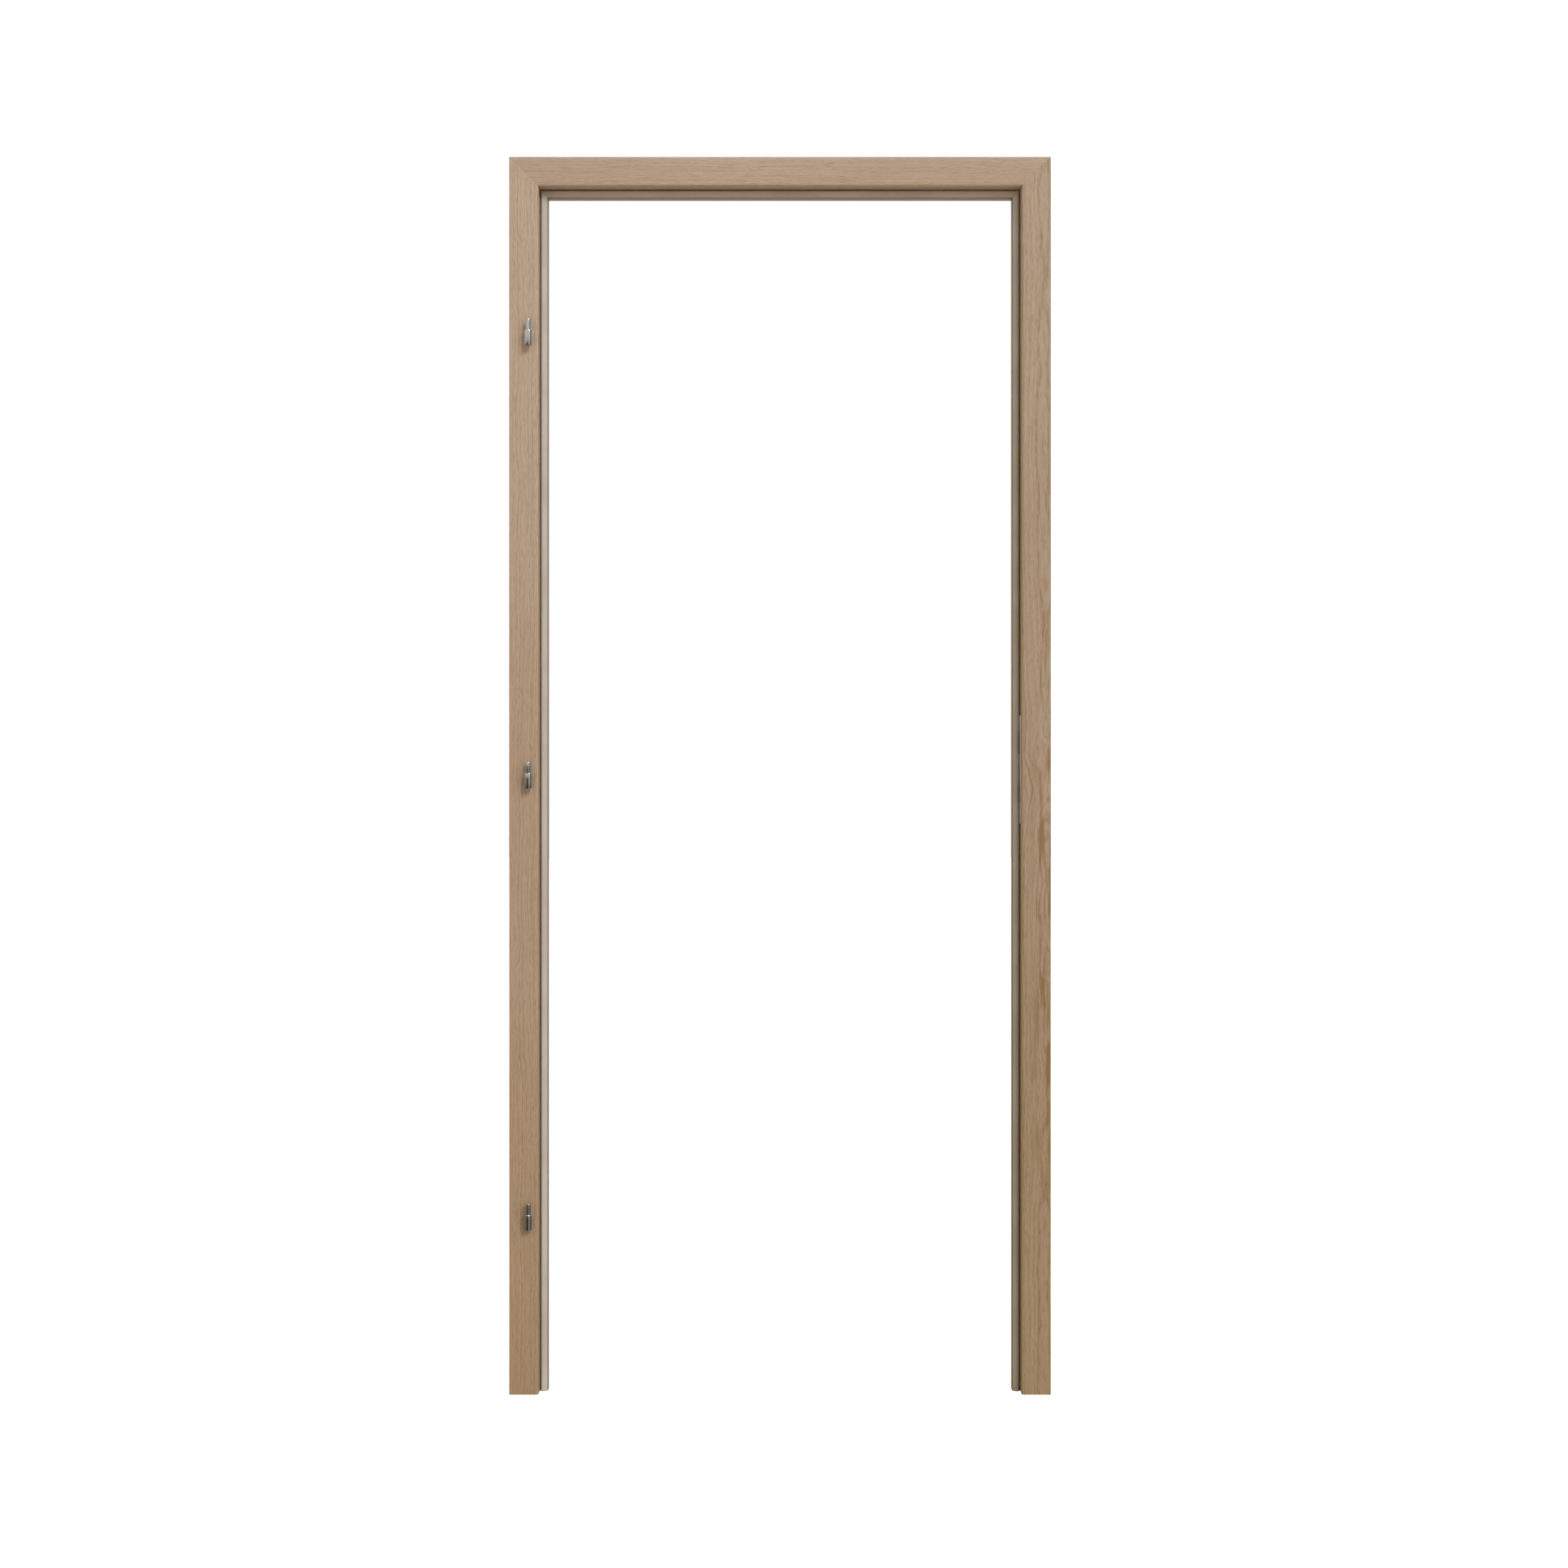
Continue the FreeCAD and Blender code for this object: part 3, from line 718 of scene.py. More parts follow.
class SectionTree:
    """Geometry nodes that run a rounded section along one side of the frame and mitre it."""

    arc_steps: int = 8

    def __init__(self) -> None:
        """Build the tree once."""
        inputs = {"Section": GEOMETRY, "Origin": VECTOR, "Across": VECTOR, "Along": VECTOR,
                  "Mirrored": "NodeSocketBool", "Material": MATERIAL,
                  **dict.fromkeys(("Length", "Start Slope", "End Slope", "End Base", "End Least"), FLOAT)}
        g = GroupBuilder("mitred_member", "GeometryNodeTree", inputs, {"Geometry": GEOMETRY})
        radius = g.add("GeometryNodeInputNamedAttribute", {"Name": "corner_radius"}, data_type="FLOAT")
        outline = g.first("GeometryNodeMeshToCurve", {0: g.given["Section"]})
        rounded = g.add("GeometryNodeFilletCurve", {
            "Curve": outline, "Radius": radius.outputs[0], "Count": self.arc_steps,
            "Limit Radius": True}, mode="POLY").outputs[0]
        face = g.first("GeometryNodeFillCurve", {0: rounded}, mode="NGONS")
        walls = g.add("GeometryNodeExtrudeMesh", {
            "Mesh": face, "Offset": (0, 0, 1), "Offset Scale": 1.0, "Individual": False}, mode="FACES")
        foot = g.first("GeometryNodeFlipFaces", {0: face})
        inputs = {"Geometry": g.joined(walls.outputs[0], foot), "Distance": WELD}
        closed = g.first("GeometryNodeMergeByDistance", inputs)
        axes = g.axes(g.first("GeometryNodeInputPosition"))
        start = g.times(axes["X"], g.given["Start Slope"])
        cut = g.weigh(axes["X"], g.given["End Slope"], g.given["End Base"])
        end = g.minus(g.given["Length"], g.largest(cut, g.given["End Least"]))
        run = g.weigh(g.minus(end, start), axes["Z"], start)
        place = g.vector("ADD", g.scaled(g.given["Across"], axes["X"]), g.scaled((0, 1, 0), axes["Y"]))
        place = g.vector("ADD", place, g.scaled(g.given["Along"], run))
        place = g.vector("ADD", place, g.given["Origin"])
        laid = g.first("GeometryNodeSetPosition", {"Geometry": closed, "Position": place})
        self.tree = g.dressed(g.first("GeometryNodeFlipFaces", {0: laid, 1: g.given["Mirrored"]}))

    def make(self, name: str, side: Side, loops: list[list[Corner]], material: Finished,
             end: MemberEnd = MemberEnd()) -> Piece:
        """Run a section along a side.

        Args:
            name: Name of the finished piece.
            side: The side that it runs along.
            loops: Contour and hollows, each with inward, depth and radius of its corners in millimetres.
            material: The finish.
            end: How the far end is cut.
        """
        mesh = bpy.data.meshes.new(name)
        corners = [corner for loop in loops for corner in loop]
        points = [(inward * MM, (depth - SIZES.depth_origin) * MM, 0) for inward, depth, radius in corners]
        edges = []
        first = 0
        for loop in loops:
            edges += [(first + i, first + (i + 1) % len(loop)) for i in range(len(loop))]
            first += len(loop)
        mesh.from_pydata(points, edges, [])
        radii = mesh.attributes.new("corner_radius", "FLOAT", "POINT")
        radii.data.foreach_set("value", [radius * MM for inward, depth, radius in corners])
        source = put(mesh, "section")
        half = SIZES.width / 2 * MM
        values = {
            Side.HINGE: ((-half, 0, 0), (1, 0, 0), (0, 0, 1), SIZES.height, 0.0, False),
            Side.STRIKE: ((half, 0, 0), (-1, 0, 0), (0, 0, 1), SIZES.height, 0.0, True),
            Side.HEAD: ((-half, 0, SIZES.height * MM), (0, 0, -1), (1, 0, 0), SIZES.width, 1.0, False),
        }[side]
        origin, across, along, length, start, mirrored = values
        settings = {
            "Length": length * MM, "Start Slope": start, "End Slope": end.slope, "End Base": end.base * MM,
            "End Least": end.least * MM, "Origin": origin, "Across": across, "Along": along,
            "Mirrored": mirrored, "Material": material}
        run_tree(source, self.tree, settings)
        piece = plain_mesh(source, name)
        soften(piece)
        return piece


def run_tree(source: Piece, tree: Tree, settings: dict) -> None:
    """Give an object a geometry nodes modifier and set its inputs by identifier."""
    nodes = source.modifiers.new(tree.name, "NODES")
    nodes.node_group = tree
    for socket in tree.interface.items_tree:
        if socket.item_type == "SOCKET" and socket.in_out == "INPUT" and socket.name in settings:
            nodes[socket.identifier] = settings[socket.name]


def join(name: str, parts: list[Piece]) -> Piece:
    """Join plain pieces of one finish into one piece, and remove them."""
    whole = bmesh.new()
    for part in parts:
        whole.from_mesh(part.data)
    material = parts[0].data.materials[0]
    remove(parts)
    return put_shape(whole, name, material)


@dataclass
class Workshop:
    """What every sub-assembly uses: the frame, the finishes and the node trees."""

    frame: dict
    materials: dict[str, Finished] = field(default_factory=dict)
    section_tree: SectionTree = field(default_factory=SectionTree)

    def finish(self, finish: OakFinish | CoatFinish, effects: Effects) -> None:
        """Build one finish and keep it by its name."""
        self.materials[finish.name] = finish.build(effects)

    def dress(self, node: str, material: str) -> None:
        """Give a carried-over solid its finish."""
        solid = self.frame["nodes"][node]
        if not solid.material_slots:
            solid.data.materials.append(self.materials[material])
        for slot in solid.material_slots:
            slot.material = self.materials[material]
        LOG.info("dressed %s in %s", node, material)

    def stand(self, piece: Piece, body: str, slot: str, nodes: list[str]) -> None:
        """Let a new piece ride on its body, in place of the solids it shows."""
        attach(piece, body)
        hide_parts(*nodes)
        LOG.info("made %s with %d faces", piece.name, len(piece.data.polygons))


@dataclass
class Casings:
    """Flat casings round the front or the back of the opening."""

    shop: Workshop
    rear: bool = False
    outer_radius: float = 1.5
    inner_radius: float = 4.0
    plate_inset: float = 6.0
    plate_width: float = 14.0
    plate_leg: float = 56.0
    plate_thickness: float = 2.5
    mouth: float = 1.0
    slack: float = 0.05

    def section(self) -> list[Corner]:
        """Corners of the casing's section, the groove or the beam's seat among them."""
        s = SIZES
        if self.rear:
            return [
                (0, s.rear_front, 0.3),
                (s.tongue_outer, s.rear_front, 0),
                (s.tongue_outer, s.tongue_back, 0),
                (s.tongue_inner, s.tongue_back, 0),
                (s.tongue_inner, s.rear_front, 0),
                (s.casing_width, s.rear_front, 0.5),
                (s.casing_width, s.rear_face, self.inner_radius),
                (0, s.rear_face, self.outer_radius)]
        return [
            (0, 0, self.outer_radius),
            (s.casing_width, 0, self.inner_radius),
            (s.casing_width, s.beam_front, 0),
            (s.board_outer, s.beam_front, 0),
            (s.board_outer, s.casing_thickness, 0),
            (0, s.casing_thickness, 0.3)]

    def plate_pockets(self, side: Side) -> list[Piece]:
        """Cutters for the mitre plates that lie in the casing's wall side."""
        s = SIZES
        depth, into = (s.rear_front, 1) if self.rear else (s.casing_thickness, -1)
        floor = depth + into * self.plate_thickness
        mouth = depth - into * self.mouth
        low = self.plate_inset - self.slack
        high = self.plate_inset + self.plate_width + self.slack
        leg = self.plate_leg + self.slack
        tools = []
        for near in ((Side.HINGE, Side.STRIKE) if side is Side.HEAD else (side,)):
            for across, down in (((low, high), (low, leg)), ((low, leg), (low, high))):
                first = s.place(near, across[0], mouth, s.height - down[0])
                last = s.place(near, across[1], floor, s.height - down[1])
                tools.append(box_tool(first, last))
        return tools

    def make(self) -> None:
        """Make the three casings and dress them."""
        where = "rear" if self.rear else "front"
        for side in Side:
            member = f"{side.value}_{where}_casing"
            material = self.shop.materials[f"{member}_oak"]
            piece = self.shop.section_tree.make(f"{member}_board", side, [self.section()], material)
            piece = carve(piece, self.plate_pockets(side))
            soften(piece)
            body = "rear_lining" if self.rear else "frame"
            self.shop.stand(piece, body, "oak_veneer", [member])


@dataclass
class Seals:
    """Hollow seals pressed into the slot of the stop."""

    shop: Workshop
    start: float = 52.7
    end: float = 62.9
    outer_height: float = 6.1
    crown_height: float = 5.3
    inner_height: float = 2.7
    outer_radius: float = 1.4
    crown_radius: float = 14.0
    inner_radius: float = 0.8
    wall: float = 1.3
    hollow_radii: Range = (0.3, 0.2)
    stem_width: float = 3.0
    stem_length: float = 6.0
    stem_overlap: float = 0.2
    crease: float = 38.0
    corner_lap: float = 5.3
    barbs: Range = (2.0, 4.2)
    barb_rise: float = 0.8
    barb_fall: float = 0.4
    waist: float = 0.35
    tip_taper: float = 0.9

    def bulb(self) -> list[list[Corner]]:
        """Outer contour and chamber of the bulb."""
        base = SIZES.rebate_depth
        crown = (self.start + self.end) / 2
        outer = [
            (self.start, base, 0), (self.start, base - self.outer_height, self.outer_radius),
            (crown, base - self.crown_height, self.crown_radius),
            (self.end, base - self.inner_height, self.inner_radius), (self.end, base, 0)]
        radius, tip = self.hollow_radii
        chamber = [
            (self.start + self.wall, base - self.wall, radius),
            (self.start + self.wall, base - self.outer_height + 1.2 * self.wall, radius),
            (crown, base - self.crown_height + self.wall, radius),
            (self.end - 1.5 * self.wall, base - self.wall, tip)]
        return [outer, chamber]

    def stem(self) -> list[list[Corner]]:
        """Contour of the stem behind the bulb, with its barbs."""
        base = SIZES.rebate_depth
        crown = (self.start + self.end) / 2
        low, high = crown - self.stem_width / 2, crown + self.stem_width / 2
        waist = low + self.waist
        left = [(waist, base - self.stem_overlap, 0)]
        for barb in self.barbs:
            left += [(waist, base + barb - self.barb_rise, 0.2), (low, base + barb, 0),
                     (waist, base + barb + self.barb_fall, 0.2)]
        left.append((low + self.tip_taper, base + self.stem_length, 0.4))
        return [left + [(low + high - inward, depth, radius) for inward, depth, radius in reversed(left)]]

    def make(self) -> None:
        """Make the three seals and dress them."""
        slope = self.corner_lap / (self.end - self.start)
        lap = self.end - self.corner_lap
        ends = {
            Side.HINGE: MemberEnd(),
            Side.STRIKE: MemberEnd(base=self.start - lap / slope, slope=1 / slope, least=self.start),
            Side.HEAD: MemberEnd(base=lap - self.start * slope, slope=slope),
        }
        for side in Side:
            # Each side takes its own rubber copy, whose tone carries that side's painted light and shade.
            rubber = self.shop.materials[f"{side.value}_seal_rubber"]
            bulb = self.shop.section_tree.make("bulb", side, self.bulb(), rubber, ends[side])
            stem = self.shop.section_tree.make("stem", side, self.stem(), rubber)
            piece = join(f"{side.value}_seal_strip", [bulb, stem])
            soften(piece, self.crease)
            self.shop.stand(piece, "frame", "seal_rubber", [f"{side.value}_seal"])


def dress_beams(shop: Workshop) -> None:
    """Dress the beams and the tongues, which keep their solids."""
    for side in Side:
        shop.dress(f"{side.value}_beam", f"{side.value}_beam_oak")
        shop.dress(f"{side.value}_lining_tongue", f"{side.value}_tongue_oak")


@dataclass
class Hinges:
    """Three drill-in hinge halves with their pins."""

    shop: Workshop
    heights: Corner = (1821.5, 1064.5, 310.5)
    inset: float = 16.0
    projection: float = 11.0
    barrel_radius: float = 7.0
    barrel_length: float = 26.5
    pin_radius: float = 4.5
    pin_length: float = 19.0
    stem_radius: float = 4.0
    stem_length: float = 18.0
    edge_radius: float = 0.9
    edge_steps: int = 5
    facets: int = 72
    crease: float = 40.0

    def axis(self, height: float) -> Vector:
        """The point where a pin leaves its barrel."""
        return SIZES.place(Side.HINGE, SIZES.casing_width - self.inset, -self.projection, height)

    def rounded(self, corners: list[Corner]) -> list[Range]:
        """Round the corners of a turned outline, each given by radius, height and corner radius."""
        outline = []
        for index, (radius, height, fillet) in enumerate(corners):
            here = Vector((radius, height, 0))
            if fillet == 0:
                outline.append((radius, height))
                continue
            back = (Vector((*corners[index - 1][:2], 0)) - here).normalized()
            ahead = (Vector((*corners[index + 1][:2], 0)) - here).normalized()
            half = back.angle(ahead) / 2
            reach = fillet / math.tan(half)
            centre = here + (back + ahead).normalized() * fillet / math.sin(half)
            first = here + back * reach - centre
            last = here + ahead * reach - centre
            for step in range(self.edge_steps + 1):
                share = step / self.edge_steps
                spoke = first.normalized().slerp(last.normalized(), share) * fillet
                outline.append(((centre + spoke).x, (centre + spoke).y))
        return outline

    def turn(self, name: str, corners: list[Corner], axis: Vector, material: Finished) -> Piece:
        """Turn an outline about an upright axis.

        Args:
            name: Name of the piece.
            corners: Radius, height and corner radius, from the bottom pole to the top pole.
            axis: The point that heights are taken from.
            material: The finish.
        """
        shape = bmesh.new()
        rings = []
        for radius, height in self.rounded(corners):
            count = self.facets if radius else 1
            angles = [2 * math.pi * facet / count for facet in range(count)]
            spokes = [Vector((math.cos(a) * radius, math.sin(a) * radius, height)) for a in angles]
            rings.append([shape.verts.new(axis + spoke * MM) for spoke in spokes])
        for lower, upper in zip(rings, rings[1:]):
            for facet in range(self.facets):
                following = (facet + 1) % self.facets
                around = (lower[facet % len(lower)], lower[following % len(lower)],
                          upper[following % len(upper)], upper[facet % len(upper)])
                shape.faces.new(list(dict.fromkeys(around)))
        bmesh.ops.recalc_face_normals(shape, faces=shape.faces)
        piece = put_shape(shape, name, material)
        soften(piece, self.crease)
        return piece

    def barrel_corners(self) -> list[Corner]:
        """Outline of the barrel with its bored mouth."""
        r, low, e = self.barrel_radius, -self.barrel_length, self.edge_radius
        mouth = self.stem_radius + 0.15
        return [(0, low + 1.0, 0), (1.4, low + 1.0, 0), (1.8, low, 0.2), (r, low, e), (r, 0, e),
                (mouth + 0.5, 0, 0.2), (mouth, -0.7, 0.1), (mouth, -self.stem_length - 1.0, 0),
                (0, -self.stem_length - 1.5, 0)]

    def pin_corners(self) -> list[Corner]:
        """Outline of the pin: stem, shoulder ring, body and rounded end."""
        r, top, e = self.pin_radius, self.pin_length, self.edge_radius
        stem, foot = self.stem_radius, -self.stem_length
        return [(0, foot, 0), (stem - 0.8, foot, 0.2), (stem, foot + 1.2, 0.2), (stem, 0.12, 0),
                (r - 0.35, 0.12, 0.1), (r, 0.45, 0.15), (r, top - 0.1, e), (0, top, 0)]

    def make(self) -> None:
        """Make the barrels and pins, and dress the studs."""
        polished = self.shop.materials["polished_nickel"]
        for level, height in zip(("upper", "middle", "lower"), self.heights):
            axis = self.axis(height)
            barrel = self.turn(f"{level}_hinge_turned_barrel", self.barrel_corners(), axis, polished)
            self.shop.stand(barrel, "frame", "polished_nickel", [f"{level}_hinge_barrel"])
            pin = self.turn(f"{level}_hinge_turned_pin", self.pin_corners(), axis, polished)
            self.shop.stand(pin, "frame", "polished_nickel", [f"{level}_hinge_pin"])
            self.shop.dress(f"{level}_hinge_studs", "zinc_steel")


class ScrewTree:
    """Geometry nodes that set a countersunk cross-recess screw at each point."""

    measures: tuple[str, ...] = ("Head Diameter", "Shank Diameter", "Length", "Recess Width", "Recess Depth")
    facets: int = 28
    recess_reach: float = 1.15
    tip_share: float = 0.75
    seed: int = 11
    crease: float = 30.0

    def __init__(self) -> None:
        """Build the tree once."""
        inputs = {"Points": GEOMETRY, "Material": MATERIAL, **dict.fromkeys(self.measures, FLOAT)}
        g = GroupBuilder("countersunk_screws", "GeometryNodeTree", inputs, {"Geometry": GEOMETRY})
        head = g.times(g.given["Head Diameter"], 0.5 * MM)
        shank = g.times(g.given["Shank Diameter"], 0.5 * MM)
        taper = g.minus(head, shank)
        length = g.times(g.given["Length"], MM)
        sunk = self.cone(g, head, shank, taper, taper)
        width = g.times(g.given["Recess Width"], MM)
        reach = g.times(head, self.recess_reach)
        deep = g.times(g.given["Recess Depth"], 2 * MM)
        cut = g.add("GeometryNodeMeshBoolean", {"Mesh 1": sunk}, operation="DIFFERENCE", solver="EXACT")
        for across, up in ((reach, width), (width, reach)):
            size = g.first("ShaderNodeCombineXYZ", {0: across, 1: up, 2: deep})
            g.fill(cut.inputs["Mesh 2"], g.add("GeometryNodeMeshCube", {"Size": size}).outputs["Mesh"])
        body = self.cone(g, shank, g.times(shank, self.tip_share), g.minus(length, taper), length)
        facing = g.add("GeometryNodeInputNamedAttribute", {"Name": "facing"}, data_type="FLOAT_VECTOR")
        turn = g.first("FunctionNodeAlignRotationToVector", {"Vector": facing.outputs[0]}, axis="Z")
        angle = g.add("FunctionNodeRandomValue", {"Min": (0, 0, 0), "Max": (0, 0, 6.28), "Seed": self.seed},
                      data_type="FLOAT_VECTOR").outputs[0]
        whole = g.joined(cut.outputs[0], body)
        places = {"Points": g.given["Points"], "Instance": whole, "Rotation": turn}
        set_in = g.first("GeometryNodeInstanceOnPoints", places)
        spun = g.first("GeometryNodeRotateInstances", {"Instances": set_in, "Rotation": angle})
        self.tree = g.dressed(spun)

    def cone(self, g: GroupBuilder, top: object, bottom: object, depth: object, drop: object) -> Socket:
        """Add a cone with its radii and its depth, its bottom dropped below the origin."""
        inputs = {"Vertices": self.facets, "Side Segments": 1, "Fill Segments": 1, "Radius Top": top,
                  "Radius Bottom": bottom, "Depth": depth}
        shape = g.add("GeometryNodeMeshCone", inputs, fill_type="NGON").outputs["Mesh"]
        offset = g.first("ShaderNodeCombineXYZ", {2: g.times(drop, -1.0)})
        return g.first("GeometryNodeTransform", {"Geometry": shape, "Translation": offset})

    def make(self, name: str, heads: Heads, sizes: tuple[float, ...], material: Finished) -> Piece:
        """Set screws at their heads.

        Args:
            name: Name of the finished piece.
            heads: Centre of each head's face and the direction that the head looks in.
            sizes: Head, shank, length, recess width and depth in millimetres.
            material: The finish.
        """
        mesh = bpy.data.meshes.new(name)
        mesh.from_pydata([centre for centre, facing in heads], [], [])
        facings = mesh.attributes.new("facing", "FLOAT_VECTOR", "POINT")
        facings.data.foreach_set("vector", [value for centre, facing in heads for value in facing])
        source = put(mesh, "screw_places")
        run_tree(source, self.tree, {**dict(zip(self.measures, sizes)), "Material": material})
        piece = plain_mesh(source, name)
        soften(piece, self.crease)
        return piece


@dataclass
class Strike:
    """Strike plate on the rebate face with its two screws and the dust box behind it."""

    shop: Workshop
    screws: ScrewTree
    screw_heights: Range = (986.0, 1156.0)
    screw_sizes: tuple[float, ...] = (7.0, 3.5, 20.0, 0.9, 1.5)
    surface: float = 51.5
    screw_depth: float = 19.0
    edge_width: float = 0.0003
    edge_angle: float = 50.0
    flat_angle: float = 1.0
    crease: float = 40.0

    def pressing(self, material: Finished) -> Piece:
        """Copy the plate's solid, merge its triangles and ease its sharp edges."""
        shape = bmesh.new()
        shape.from_mesh(self.shop.frame["nodes"]["strike_plate"].data)
        bmesh.ops.remove_doubles(shape, verts=shape.verts, dist=WELD)
        flat = math.radians(self.flat_angle)
        bmesh.ops.dissolve_limit(shape, angle_limit=flat, verts=shape.verts, edges=shape.edges)
        piece = put_shape(shape, "unrounded", material)
        ease = piece.modifiers.new("ease", "BEVEL")
        ease.width = self.edge_width
        ease.segments = 2
        ease.limit_method = "ANGLE"
        ease.angle_limit = math.radians(self.edge_angle)
        ease.use_clamp_overlap = True
        piece = plain_mesh(piece, "strike_plate_pressing")
        soften(piece, self.crease)
        return piece

    def make(self) -> None:
        """Round the plate's edges, set its screws and dress the box."""
        satin = self.shop.materials["satin_nickel"]
        self.shop.stand(self.pressing(satin), "frame", "satin_nickel", ["strike_plate"])
        heads = [(SIZES.place(Side.STRIKE, self.surface, self.screw_depth, z), Vector((-1, 0, 0)))
                 for z in self.screw_heights]
        piece = self.screws.make("strike_cross_screws", heads, self.screw_sizes, satin)
        self.shop.stand(piece, "frame", "satin_nickel", ["strike_screws"])
        self.shop.dress("strike_dust_box", "box_plastic")


@dataclass
class CornerHardware:
    """Brackets and mitre plates that hold the corners together on the wall side."""

    shop: Workshop
    screws: ScrewTree
    bracket_inward: float = 24.0
    bracket_places: Range = (46.0, 70.0)
    bracket_depth: float = 30.5
    bracket_screw: tuple[float, ...] = (7.5, 4.0, 13.0, 1.0, 1.5)
    plate_screw: tuple[float, ...] = (5.5, 3.0, 8.0, 0.8, 1.1)
    plate_inward: float = 13.0
    plate_places: Range = (30.0, 46.0)

    @staticmethod
    def heads(places: Range, inward: float, depth: float,
              facing: Vector | None = None) -> Heads:
        """Screw heads at both corners, on the jamb and on the head in turn.

        Args:
            places: Millimetres from the frame's outer corner.
            inward: Millimetres from the outer edge towards the doorway.
            depth: Millimetres back from the front face.
            facing: Where the heads look, or None for away from the doorway.

        Returns:
            Centres and directions of the heads.
        """
        heads = []
        for side, outward in ((Side.HINGE, -1), (Side.STRIKE, 1)):
            for place in places:
                on_jamb = SIZES.place(side, inward, depth, SIZES.height - place)
                on_head = SIZES.place(Side.HEAD, inward, depth, outward * (SIZES.width / 2 - place))
                heads.append((on_jamb, facing or Vector((outward, 0, 0))))
                heads.append((on_head, facing or Vector((0, 0, 1))))
        return heads

    def make(self) -> None:
        """Dress the plates and brackets and set their screws."""
        zinc = self.shop.materials["zinc_steel"]
        for side in ("hinge_side", "strike_side"):
            for part in ("corner_bracket", "front_mitre_plate", "rear_mitre_plate"):
                self.shop.dress(f"{side}_{part}", "zinc_steel")
        back = Vector((0, 1, 0))
        on_brackets = self.heads(self.bracket_places, self.bracket_inward, self.bracket_depth)
        on_front = self.heads(self.plate_places, self.plate_inward, SIZES.casing_thickness, back)
        on_rear = self.heads(self.plate_places, self.plate_inward, SIZES.rear_front, -back)
        runs = (
            ("corner_bracket_screws", "frame", on_brackets, self.bracket_screw),
            ("front_mitre_screws", "frame", on_front, self.plate_screw),
            ("rear_mitre_screws", "rear_lining", on_rear, self.plate_screw),
        )
        for node, body, heads, sizes in runs:
            piece = self.screws.make(f"{node}_crossed", heads, sizes, zinc)
            self.shop.stand(piece, body, "zinc_steel", [node])


